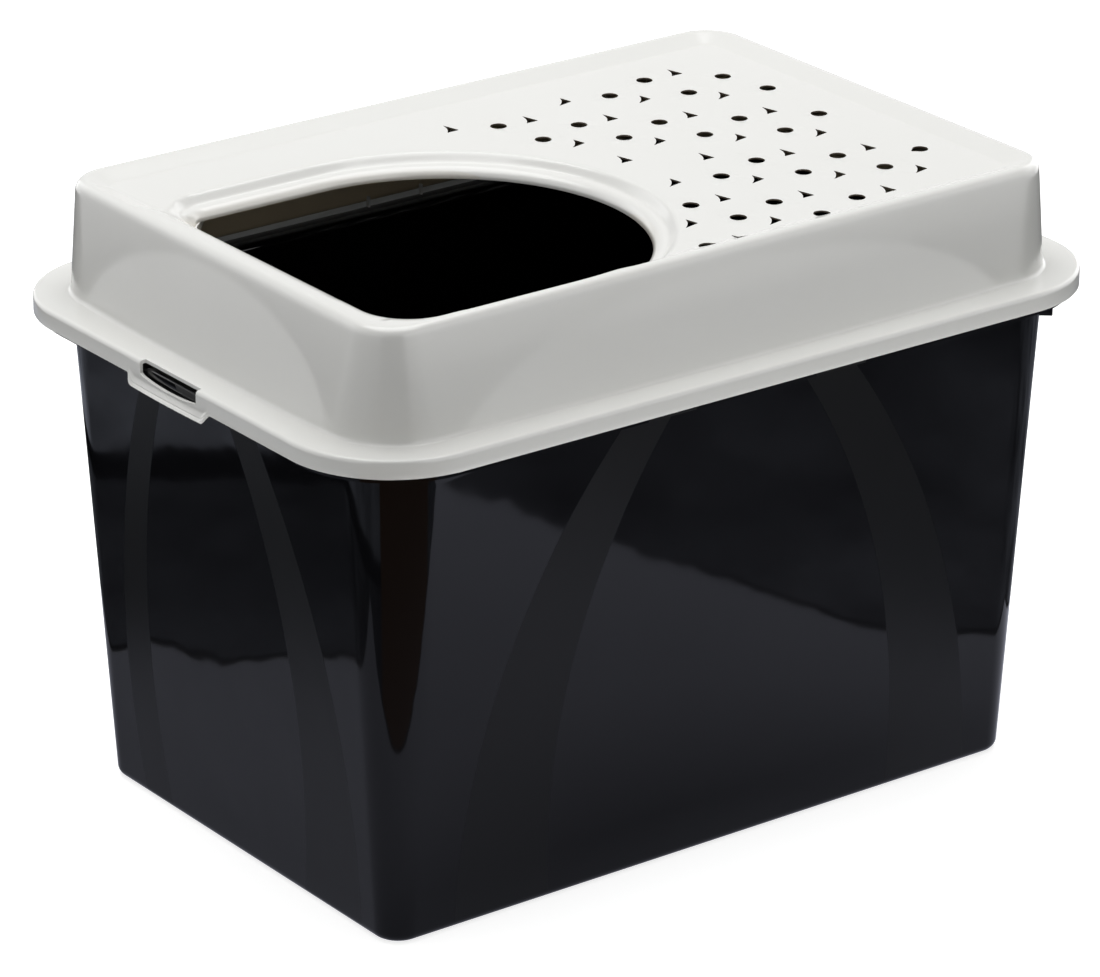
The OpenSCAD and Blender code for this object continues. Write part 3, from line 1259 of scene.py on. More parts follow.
@dataclass
class Lid:
    """The lid: flange with skirt, hood with rolled rim, pierced deck, sunken ring and latch tab.

    Sizes are in millimetres. The flange, the foot and the top are outlines of the ledge, of the
    hood's foot and of the middle of its rolled rim. Where the strip between crest and opening is
    narrower than the first tight gap, a tight curve takes over from the plain rim, and it holds
    alone where the strip is narrower by the second.
    """

    flange: Outline = Outline(572.0, 401.0, 71.0, 327.0)
    foot: Outline = Outline(524.1, 356.7, 47.0, 327.0)
    top: Outline = Outline(505.9, 342.4, 29.0, 389.7)
    wall: float = 2.4
    hood_wall: float = 1.1
    first_move: float = 0.2
    skirt_z: float = 315.4
    ledge_steps: tuple[float, ...] = (8.0, 4.2)
    skirt_steps: tuple[float, ...] = (321.8, 318.6)
    edge_r: float = 2.5
    seam: float = 12.0
    seam_share: float = 0.6
    edge_steps: int = 6
    foot_steps: int = 7
    wall_steps: int = 23
    wall_ends: tuple[float, float] = (1.4, 0.6)
    bead_steps: int = 13
    edge_bevel: float = 0.4
    hole_bevel: float = 0.15
    foot_r: float = 2.2
    bead_r: float = 6.4
    deck_z: float = 391.0
    slope: float = 20.0
    crease: float = 0.5
    tight_z: float = 389.9
    tight_gap: tuple[float, float] = (23.0, 16.0)
    entry: Entry = field(default_factory=Entry)
    ring: Ring = field(default_factory=Ring)
    brow: Brow = field(default_factory=Brow)
    vents: Vents = field(default_factory=Vents)
    latch: Latch = field(default_factory=Latch)
    deck_mesh: DeckMesh = field(default_factory=DeckMesh)
    long_arch: Arch = Arch(204.0, 310.0, 76.4)
    end_arch: Arch = Arch(130.0, 317.0, 70.0)
    seat_z: float = 318.3
    seat_wall: float = 2.3
    seat_end: float = 238.0
    seat_inset: float = 0.2
    seat_drop: float = 1.0
    rib_x: tuple[float, float] = (-20.7, 19.9)
    rib_y: float = 175.6
    rib_z: float = 328.2
    rib_size: tuple[float, float, float] = (1.6, 2.6, 7.0)

    @property
    def tilt(self) -> float:
        """Angle by which the hood's end walls lean in."""
        return math.atan2((self.foot.length - self.top.length) / 2, self.top.z - self.foot.z)

    @property
    def crest(self) -> Outline:
        """Outline of the crest, over the middle of the rolled rim."""
        return self.top.inset(self.bead_r / math.cos(self.tilt))

    # Flange

    def build_flange(self, finish: bpy.types.Material) -> bpy.types.Object:
        """Build the flat ledge and its skirt, cut out for the latch tab.

        Args:
            finish: the lid's material.

        Returns:
            The finished piece.
        """
        rim = self.flange
        levels = [rim.inset(by) for by in (self.seam, *self.ledge_steps)]
        for a in np.linspace(0, math.pi / 2, self.edge_steps):
            levels.append(rim.inset(self.edge_r * (1 - math.sin(a)), rim.z - self.edge_r * (1 - math.cos(a))))
        levels += [rim.inset(0, z) for z in (*self.skirt_steps, self.skirt_z)]
        shell = Bench.loft("lid_ledge", [COLUMNS.ring(o) for o in levels])
        skirt_top = rim.z - self.edge_r
        latch, near = self.latch, 0.1
        seam_box = (rim.length / 2 - self.seam + 1.0, rim.width / 2 - self.seam + 1.0)

        def notched(middle: Vector, _normal: Vector) -> bool:
            """Pass the faces where the latch window and the latch tab are."""
            reach = latch.half if middle.z < skirt_top else latch.window
            return middle.x < latch.window_x and abs(middle.y) < reach

        Bench.cut_faces(shell, notched)
        Bench.orient(shell, lambda m: m.z > rim.z - near, Vector((0, 0, 1)))
        Bench.thicken(shell, self.wall)

        def crisp(a: Vector, b: Vector, fold: float) -> bool:
            """Pass the sharp edges, apart from those that meet the hood or the latch tab.

            Args:
                a: one end of the edge.
                b: its other end.
                fold: the edge's fold.

            Returns:
                Whether it is rounded.
            """
            ends = (a, b)
            seam_end = all(abs(abs(p.y) - latch.half) < near and p.x < 0
                           and p.z < skirt_top + near for p in ends)
            seam_top = all(latch.window - near < abs(p.y) < latch.half + near and p.x < latch.seam_x
                           and abs(p.z - skirt_top) < near for p in ends)
            inner = all(abs(p.x) < seam_box[0] and abs(p.y) < seam_box[1] for p in ends)
            return fold >= SHARP and not (seam_end or seam_top or inner)

        Bench.bevel(shell, crisp, self.edge_bevel)
        Bench.smooth(shell)
        Bench.fit(shell, finish, "lid", "lid_plastic", "lid_flange")
        return shell

    # Hood

    def hood_rings(self) -> list[Points]:
        """Set out the hood's levels from the middle of the ledge to the crest.

        Returns:
            One array of columns for each level.
        """
        seam = self.flange.inset(self.seam)
        levels = [seam, seam.towards(self.foot.inset(-self.foot_r), self.seam_share)]
        for a in np.linspace(0, math.pi / 2 - self.tilt, self.foot_steps):
            z = self.foot.z + self.foot_r * (1 - math.cos(a))
            out = self.foot_r * (1 - math.sin(a))
            levels.append(self.foot.wall_at(self.top, z).inset(-out))
        above, below = self.wall_ends
        for z in np.linspace(levels[-1].z + above, self.top.z - below, self.wall_steps):
            levels.append(self.foot.wall_at(self.top, z))
        for a in np.linspace(self.tilt, math.pi / 2, self.bead_steps):
            out, up = self.bead_r * math.cos(a), self.bead_r * math.sin(a)
            levels.append(self.crest.inset(-out, self.top.z + up))
        return [self.with_arches(o) for o in levels]

    def with_arches(self, o: Outline) -> Points:
        """Set the columns of one level, moved out on the arched panels.

        Args:
            o: the level's outline.

        Returns:
            One (x, y, z) row in millimetres for each column.
        """
        ring = COLUMNS.ring(o)
        x, y, z = ring.T
        seam = self.flange.length / 2 - self.seam
        fade = np.clip((seam - o.length / 2) / (seam - self.foot.length / 2 - self.foot_r), 0.0, 1.0)
        on_long = np.abs(np.abs(y) - o.width / 2) < TOLERANCE
        on_end = np.abs(np.abs(x) - o.length / 2) < TOLERANCE
        ring[:, 1] += np.where(on_long, np.sign(y) * self.long_arch.stand_out(x, z) * fade, 0)
        ring[:, 0] += np.where(on_end, np.sign(x) * self.end_arch.stand_out(y, z) * fade, 0)
        return ring

    def within_crest(self, x: Points, y: Points) -> Points:
        """Measure the distance inside the crest line.

        Args:
            x: places along X.
            y: places along Y.

        Returns:
            Distances in millimetres, negative outside the line.
        """
        core = self.crest
        qx = np.abs(x) - (core.length / 2 - core.radius)
        qy = np.abs(y) - (core.width / 2 - core.radius)
        away = np.hypot(np.maximum(qx, 0), np.maximum(qy, 0)) + np.minimum(np.maximum(qx, qy), 0)
        return core.radius - away

    def rim_height(self, e: Points) -> Points:
        """Height of the rolled rim, of the slope inside it and of the deck.

        Args:
            e: distances inside the crest line.

        Returns:
            Heights in millimetres.
        """
        r, lean = self.bead_r, math.radians(self.slope)
        turn = r * math.sin(lean)
        bead = self.top.z + np.sqrt(np.clip(r * r - e * e, 0, None))
        slope = self.top.z + r * math.cos(lean) - (e - turn) * math.tan(lean)
        return np.where(e < turn, bead, soft_max(slope, np.full_like(e, self.deck_z), self.crease))

    def height(self, x: Points, y: Points) -> Points:
        """Height of the hood's upper surface inside the crest line.

        Args:
            x: places along X.
            y: places along Y.

        Returns:
            Heights in millimetres.
        """
        e = np.clip(self.within_crest(x, y), 0, None)
        g = np.clip(self.entry.outside(x, y), 0, None)
        gap, crest = e + g, self.top.z + self.bead_r
        slope, at_brow = self.brow.height(x, y), self.brow.share(x, y, gap)
        wide = self.rim_height(e) - self.ring.drop(e, g)
        wide = wide * (1 - at_brow) + self.brow.dome(y, e, crest, slope) * at_brow
        ratio = np.clip(e / np.maximum(gap, TOLERANCE), 0, 1)
        tight = self.tight_z + (crest - self.tight_z) * np.sqrt(1 - ratio ** 2)
        share = smooth_step((self.tight_gap[0] - gap) / self.tight_gap[1])
        z = wide * (1 - share) + tight * share
        return z - at_brow * np.clip(z - slope, 0, None)

    def free_points(self, holes: list[Points]) -> list[Points]:
        """Set out the points of the deck's mesh that stand on no edge.

        Args:
            holes: the edges of the vent holes.

        Returns:
            Arrays of (x, y) rows.
        """
        plan, free = self.deck_mesh, []
        for e in plan.from_crest:
            p = COLUMNS.ring(self.crest.inset(e))[:, :2]
            g = self.entry.outside(*p.T)
            free.append(p[(g > plan.entry_zone) | (g > e)])
        for g in plan.from_entry:
            p = self.entry.loop(g)
            e = self.within_crest(*p.T)
            free.append(p[(e > g + plan.least_gap) & (e > plan.least_crest)])
        across, along = (np.arange(-half, half + 1, plan.grid) for half in plan.grid_half)
        xs, ys = np.meshgrid(across, along)
        p = np.stack([xs.ravel(), ys.ravel()], 1)
        inner = self.within_crest(*p.T) > plan.grid_from_crest
        p = p[inner & (self.entry.outside(*p.T) > plan.grid_from_entry)]
        for hole in holes:
            p = p[np.hypot(*(p - hole.mean(0)).T) > plan.grid_from_hole]
        return free + [p]

    def top_sheet(self, crest: Points) -> bpy.types.Object:
        """Mesh the surface inside the crest line, with the opening and the vents left out.

        Args:
            crest: the last level of the hood's walls.

        Returns:
            The sheet as an object of its own.
        """
        holes = self.vents.holes()
        loops = [crest[:, :2], self.entry.loop(0.0)] + holes
        coords = np.concatenate(loops + self.free_points(holes))
        edges, start = [], 0
        for loop in loops:
            n = len(loop)
            edges += [(start + k, start + (k + 1) % n) for k in range(n)]
            start += n
        points = [Vector(c) for c in coords]
        verts, _, faces, *_ = delaunay_2d_cdt(points, edges, [], 0, self.deck_mesh.same_point, False)
        flat = np.array([(v.x, v.y) for v in verts])
        middle = flat[np.array(faces)].mean(1)
        keep = (self.within_crest(*middle.T) > 0) & (self.entry.outside(*middle.T) > 0)
        for hole in holes:
            near = np.hypot(*(middle - hole.mean(0)).T) < self.deck_mesh.hole_zone
            keep[near] &= ~inside_loop(middle[near], hole)
        z = self.height(flat[:, 0], flat[:, 1])
        mesh = bpy.data.meshes.new("deck_sheet")
        rows = (np.column_stack([flat, z]) * MM).tolist()
        mesh.from_pydata(rows, [], [faces[k] for k in np.flatnonzero(keep)])
        sheet = bpy.data.objects.new("deck_sheet", mesh)
        bpy.context.scene.collection.objects.link(sheet)
        return sheet

    def build_hood(self, finish: bpy.types.Material) -> bpy.types.Object:
        """Build the hood: walls with arched panels, rolled rim, deck with vents, and the sunken ring.

        Args:
            finish: the lid's material.

        Returns:
            The finished piece.
        """
        rings = self.hood_rings()
        hood = Bench.loft("lid_hood", rings)
        sheet = self.top_sheet(rings[-1])
        bpy.ops.object.select_all(action="DESELECT")
        sheet.select_set(True)
        hood.select_set(True)
        bpy.context.view_layer.objects.active = hood
        bpy.ops.object.join()
        Bench.orient(hood, lambda m: m.z > self.deck_z - 0.5, Vector((0, 0, 1)))
        self.drop_lip(hood)
        Bench.thicken(hood, self.hood_wall)
        rounds = self.vents.round_middles()

        def hole_edge(a: Vector, b: Vector, fold: float) -> bool:
            """Pass the upper edges of the round vents.

            Args:
                a: one end of the edge.
                b: its other end.
                fold: the edge's fold.

            Returns:
                Whether it is rounded.
            """
            if fold < SHARP or min(a.z, b.z) < self.deck_z - 0.2:
                return False
            away = np.hypot(*(rounds - np.array((a.x, a.y))).T).min()
            return bool(away < self.vents.diameter / 2 + 0.1)

        Bench.bevel(hood, hole_edge, self.hole_bevel)
        Bench.smooth(hood)
        Bench.fit(hood, finish, "lid", "lid_plastic", "lid_walls", "lid_rim", "lid_deck")
        return hood

    def drop_lip(self, hood: bpy.types.Object) -> None:
        """Extrude the opening's edge down to the lower end of its wall, in two steps.

        Args:
            hood: the hood before it gets its thickness.
        """
        def on_edge(a: Vector, b: Vector, fold: float) -> bool:
            """Pass the border edges round the opening.

            Args:
                a: one end of the edge.
                b: its other end.
                fold: the edge's fold.

            Returns:
                Whether it is extruded.
            """
            if fold >= 0 or a.z < self.entry.lowest:
                return False
            g = self.entry.outside(np.array([a.x, b.x]), np.array([a.y, b.y]))
            return bool(np.abs(g).max() < 0.05)

        Bench.pick_edges(hood, on_edge)
        for share in (0.5, 1.0):
            bpy.ops.mesh.extrude_edges_move(TRANSFORM_OT_translate={"value": (0, 0, -self.first_move * MM)})
            bm = bmesh.from_edit_mesh(hood.data)
            for v in bm.verts:
                if v.select:
                    v.co.z += (self.entry.lip_z * MM - v.co.z) * share
            bmesh.update_edit_mesh(hood.data)
        bpy.ops.object.mode_set(mode="OBJECT")

    # Latch tab

    def build_tab(self, finish: bpy.types.Material) -> bpy.types.Object:
        """Build the springy tab with its smile-shaped window edge and flared lip.

        Args:
            finish: the lid's material.

        Returns:
            The finished piece.
        """
        latch, near = self.latch, 0.05
        top_z = self.flange.z - self.edge_r
        ys = latch.columns()
        rows = len(latch.upper) + len(latch.lower)
        bpy.ops.object.select_all(action="DESELECT")
        bpy.ops.mesh.primitive_grid_add(
            x_subdivisions=len(ys) - 1, y_subdivisions=rows - 1, size=2, location=(0, 0, 0))
        tab = bpy.context.active_object
        tab.name = tab.data.name = "latch_tab_skin"
        co = Bench.read(tab)
        column = np.round((co[:, 0] + 1) / 2 * (len(ys) - 1)).astype(int)
        step = np.round((1 - co[:, 1]) / 2 * (rows - 1)).astype(int)
        Bench.write(tab, latch.skin(ys[column], step, top_z, self.skirt_z, -self.flange.length / 2) * MM)
        Bench.cut_faces(tab, lambda m, _n: abs(m.y) < latch.window and m.z > latch.sill(abs(m.y)) - 0.01)
        Bench.orient(tab, lambda m: True, Vector((-1, 0, 0)))
        Bench.thicken(tab, latch.wall)

        def crisp(a: Vector, b: Vector, fold: float) -> bool:
            """Pass the sharp edges, apart from those that meet the skirt.

            Args:
                a: one end of the edge.
                b: its other end.
                fold: the edge's fold.

            Returns:
                Whether it is rounded.
            """
            at_side = all(abs(abs(p.y) - latch.half) < near for p in (a, b))
            at_top = all(abs(p.z - top_z) < near for p in (a, b))
            return fold > latch.sharp and not at_side and not at_top

        Bench.bevel(tab, crisp, latch.edge_bevel)
        Bench.smooth(tab)
        tab.data.materials.clear()
        tab.data.materials.append(finish)
        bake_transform(tab)
        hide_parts("latch_tab")
        LOG.info("%s: %d faces between lid and latch_tab", tab.name, len(tab.data.polygons))
        return tab

    # Seat

    def build_seat(self, finish: bpy.types.Material) -> bpy.types.Object:
        """Build the rim under the hood's foot that stands over the tub's rim at the hinge end.

        Args:
            finish: the lid's material.

        Returns:
            The finished piece.
        """
        top = self.foot.inset(self.seat_inset, self.foot.z - self.seat_drop)
        low = self.foot.inset(self.seat_inset, self.seat_z)
        levels = [top.inset(self.seat_wall), top, low, low.inset(self.seat_wall), top.inset(self.seat_wall)]
        seat = Bench.loft("seat_rim", [self.with_arches(o) for o in levels])
        Bench.orient(seat, lambda m: m.z < self.seat_z + 0.01, Vector((0, 0, -1)))
        Bench.take(seat)
        bpy.ops.object.mode_set(mode="EDIT")
        bpy.ops.mesh.select_all(action="SELECT")
        bpy.ops.mesh.bisect(
            plane_co=(self.seat_end * MM, 0, 0), plane_no=(-1, 0, 0), use_fill=True, clear_outer=True)
        bpy.ops.object.mode_set(mode="OBJECT")
        Bench.bevel(seat, lambda a, b, fold: fold > SHARP and max(a.z, b.z) < self.seat_z + 0.1,
                    self.edge_bevel, 3)
        Bench.smooth(seat)
        Bench.fit(seat, finish, "lid", "lid_plastic")
        return seat

    # Ribs

    def build_ribs(self, finish: bpy.types.Material) -> None:
        """Build the two thin ribs that stand at the foot of the hood's inner back wall.

        Args:
            finish: the lid's material.
        """
        for name, x in zip(("seat_rib_left", "seat_rib_right"), self.rib_x):
            bpy.ops.object.select_all(action="DESELECT")
            bpy.ops.mesh.primitive_cube_add(size=1, location=(x * MM, self.rib_y * MM, self.rib_z * MM))
            rib = bpy.context.active_object
            rib.name = rib.data.name = name
            rib.scale = tuple(v * MM for v in self.rib_size)
            bpy.ops.object.transform_apply(location=True, rotation=False, scale=True)
            Bench.bevel(rib, lambda a, b, fold: fold > SHARP, self.edge_bevel, 3)
            Bench.smooth(rib)
            Bench.fit(rib, finish, "lid", "lid_plastic")


def inside_loop(points: Points, loop: Points) -> Points:
    """Tell which points lie within a closed loop.

    Args:
        points: rows of (x, y).
        loop: rows of (x, y).

    Returns:
        One truth value for each point.
    """
    x, y = points[:, :1], points[:, 1:]
    ax, ay = loop[:, 0], loop[:, 1]
    bx, by = np.roll(ax, -1), np.roll(ay, -1)
    crosses = (ay > y) != (by > y)
    with np.errstate(divide="ignore", invalid="ignore"):
        at = ax + (y - ay) * (bx - ax) / (by - ay)
    return (crosses & (x < at)).sum(1) % 2 == 1


# Tub


@dataclass
class Tub:
    """The tub: tapered shell with a brim, and the catch nose, in millimetres.

    The brim is cut back at its end, so that the lid can swing there.
    """

    base: Outline = Outline(479.0, 313.0, 18.0, 0.0)
    rim: Outline = Outline(515.0, 359.0, 40.0, 318.0)
    brim: Outline = Outline(561.0, 390.0, 65.5, 318.0)
    wall: float = 2.6
    edge_r: float = 6.4
    lip_z: float = 311.0
    brim_end: float = 261.5
    base_steps: tuple[float, ...] = (16.0, 9.0)
    under_r: float = 1.5
    turn_r: float = 1.0
    lip_step: float = 313.0
    nose_at: tuple[float, float, float] = (-278.3, 0.0, 320.1)
    nose_size: tuple[float, float, float] = (9.0, 54.0, 4.4)
    nose_flat: float = 318.5
    nose_bevel: float = 0.7
    base_turn_steps: int = 8
    wall_steps: int = 24
    turn_steps: int = 4
    wall_end: float = 2.0

    def rings(self) -> list[Points]:
        """Set out the levels of the tub's outside, from under its base to the brim's edge.

        Returns:
            One array of columns for each level.
        """
        low = Outline(self.base.length, self.base.width, self.base.radius, self.edge_r)
        levels = [self.base.inset(by) for by in self.base_steps]
        for a in np.linspace(0, math.pi / 2, self.base_turn_steps):
            levels.append(low.inset(self.edge_r * (1 - math.sin(a)), self.edge_r * (1 - math.cos(a))))
        under = self.rim.z - self.wall
        for z in np.linspace(low.z, under - self.wall_end, self.wall_steps)[1:]:
            levels.append(low.wall_at(self.rim, z))
        r = self.under_r
        for a in np.linspace(0, math.pi / 2, self.turn_steps)[1:]:
            out, z = r * (1 - math.cos(a)), under - r + r * math.sin(a)
            levels.append(low.wall_at(self.rim, under).inset(-out, z))
        lip, r = self.brim.inset(self.wall), self.turn_r
        for a in np.linspace(0, math.pi / 2, self.turn_steps):
            levels.append(lip.inset(r * (1 - math.sin(a)), under - r * (1 - math.cos(a))))
        levels += [lip.inset(0, z) for z in (self.lip_step, self.lip_z)]
        return [COLUMNS.ring(o) for o in levels]

    def build_shell(self, finish: bpy.types.Material) -> bpy.types.Object:
        """Build the tub's shell.

        Args:
            finish: the tub's material.

        Returns:
            The finished piece.
        """
        shell = Bench.loft("tub_shell", self.rings())
        Bench.pick_edges(shell, lambda a, b, fold: fold < 0 and a.z < 0.01 and b.z < 0.01)
        bpy.ops.mesh.edge_face_add()
        bpy.ops.object.mode_set(mode="OBJECT")
        Bench.orient(shell, lambda m: m.z < 0.01, Vector((0, 0, -1)))
        Bench.take(shell)
        bpy.ops.object.mode_set(mode="EDIT")
        bpy.ops.mesh.select_all(action="SELECT")
        bpy.ops.mesh.bisect(plane_co=(self.brim_end * MM, 0, 0), plane_no=(1, 0, 0), clear_outer=True)
        bpy.ops.object.mode_set(mode="OBJECT")
        Bench.thicken(shell, self.wall)
        Bench.smooth(shell)
        Bench.fit(shell, finish, "tub", "tub_plastic", "tub")
        return shell

    def build_catch(self, finish: bpy.types.Material) -> bpy.types.Object:
        """Build the catch nose behind the tab's window.

        Args:
            finish: the tub's material.

        Returns:
            The finished piece.
        """
        bpy.ops.object.select_all(action="DESELECT")
        bpy.ops.mesh.primitive_cube_add(size=1, location=[v * MM for v in self.nose_at])
        nose = bpy.context.active_object
        nose.name = nose.data.name = "catch_nose"
        nose.scale = [v * MM for v in self.nose_size]
        bpy.ops.object.transform_apply(location=True, rotation=False, scale=True)
        Bench.bevel(nose, lambda a, b, fold: max(a.z, b.z) >= self.nose_flat, self.nose_bevel, 3)
        Bench.smooth(nose)
        Bench.fit(nose, finish, "tub", "tub_plastic", "latch_catch")
        return nose


# Hinge


@dataclass
class Hinge:
    """The two lugs on the tub and the two arms on the lid whose pins run in them, in millimetres."""

    axis: tuple[float, float] = (265.0, 305.0)
    bore_r: float = 3.25
    pin_r: float = 3.2
    lug_y: tuple[float, float] = (140.0, 151.0)
    lug_side: tuple[tuple[float, float], ...] = (
        (254.8, 288.0), (257.5, 288.0), (270.0, 285.0), (271.0, 310.0), (269.0, 312.0), (254.8, 312.0))
    arm_y: tuple[float, float] = (127.0, 139.5)
    arm_x: tuple[float, float] = (262.3, 270.0)
    arm_r: float = 5.5
    arm_top: float = 324.5
    pin_end: float = 150.7
    pin_bevel: float = 0.5
    lug_bevel: float = 0.5
    arm_bevel: float = 0.4
    sharp: float = 0.7
    count: int = 72

    def spread(self, corners: list[tuple[float, float]]) -> Points:
        """Spread points evenly over a closed outline, with every corner kept.

        Args:
            corners: the outline's (x, z) corners.

        Returns:
            Rows of (x, z).
        """
        c = np.array(corners)
        gap = np.hypot(*(np.roll(c, -1, 0) - c).T)
        share = np.maximum(1, np.round(gap / gap.sum() * self.count).astype(int))
        share[np.argmax(share)] += self.count - share.sum()
        ends = zip(c, np.roll(c, -1, 0), share)
        return np.concatenate([
            a + (b - a) * np.linspace(0, 1, n, endpoint=False)[:, None] for a, b, n in ends])

    def circle(self, outline: Points, radius: float) -> Points:
        """Set a circle round the axis, one point for each point of an outline."""
        way = outline - np.array(self.axis)
        return np.array(self.axis) + way / np.hypot(*way.T)[:, None] * radius

    def at(self, flat: Points, y: float) -> Points:
        """Stand (x, z) rows at one place along Y."""
        return np.stack([flat[:, 0], np.full(len(flat), y), flat[:, 1]], 1)

    def build_lug(self, side: int, name: str, finish: bpy.types.Material) -> bpy.types.Object:
        """Build one lug of the tub, with its bore.

        Args:
            side: -1 at the front, 1 at the rear.
            name: the piece's name.
            finish: the tub's material.

        Returns:
            The finished piece.
        """
        outer = self.spread(list(self.lug_side))
        bore = self.circle(outer, self.bore_r)
        near, far = (y * side for y in self.lug_y)
        levels = ((bore, far), (outer, far), (outer, near), (bore, near), (bore, far))
        lug = Bench.loft(name, [self.at(flat, y) for flat, y in levels])
        Bench.orient(lug, lambda m: abs(m.y - far) < 0.01, Vector((0, side, 0)))
        Bench.bevel(lug, lambda a, b, fold: fold > self.sharp, self.lug_bevel, 3)
        Bench.smooth(lug)
        Bench.fit(lug, finish, "tub", "tub_plastic", "hinge_ear_front" if side < 0 else "hinge_ear_rear")
        return lug

    def build_arm(self, side: int, name: str, finish: bpy.types.Material) -> bpy.types.Object:
        """Build one arm of the lid, with its pin.

        Args:
            side: -1 at the front, 1 at the rear.
            name: the piece's name.
            finish: the lid's material.

        Returns:
            The finished piece.
        """
        x, z = self.axis
        left, right = self.arm_x
        start = math.pi - math.acos((x - left) / self.arm_r)
        end = 2 * math.pi + math.acos((right - x) / self.arm_r)
        turn = np.linspace(start, end, 40)
        corners = [(right, self.arm_top), (left, self.arm_top)]
        corners += [(x + self.arm_r * math.cos(a), z + self.arm_r * math.sin(a)) for a in turn]
        outer = self.spread(corners)
        pin = self.circle(outer, self.pin_r)
        tip = self.circle(outer, self.pin_r - self.pin_bevel)
        near, far, end_y = self.arm_y[0] * side, self.arm_y[1] * side, self.pin_end * side
        levels = ((tip, end_y), (pin, end_y - self.pin_bevel * side), (pin, far), (outer, far), (outer, near))
        arm = Bench.loft(name, [self.at(flat, y) for flat, y in levels])
        for y in (end_y, near):
            Bench.pick_edges(arm, lambda a, b, fold: fold < 0 and max(abs(a.y - y), abs(b.y - y)) < 0.01)
            bpy.ops.mesh.edge_face_add()
            bpy.ops.object.mode_set(mode="OBJECT")
        Bench.orient(arm, lambda m: abs(m.y - end_y) < 0.01, Vector((0, side, 0)))
        Bench.bevel(arm, lambda a, b, fold: fold > self.sharp and max(a.z, b.z) < self.arm_top + 0.01,
                    self.arm_bevel)
        Bench.smooth(arm)
        Bench.fit(arm, finish, "lid", "lid_plastic", "hinge_arm_front" if side < 0 else "hinge_arm_rear")
        return arm


# Studio


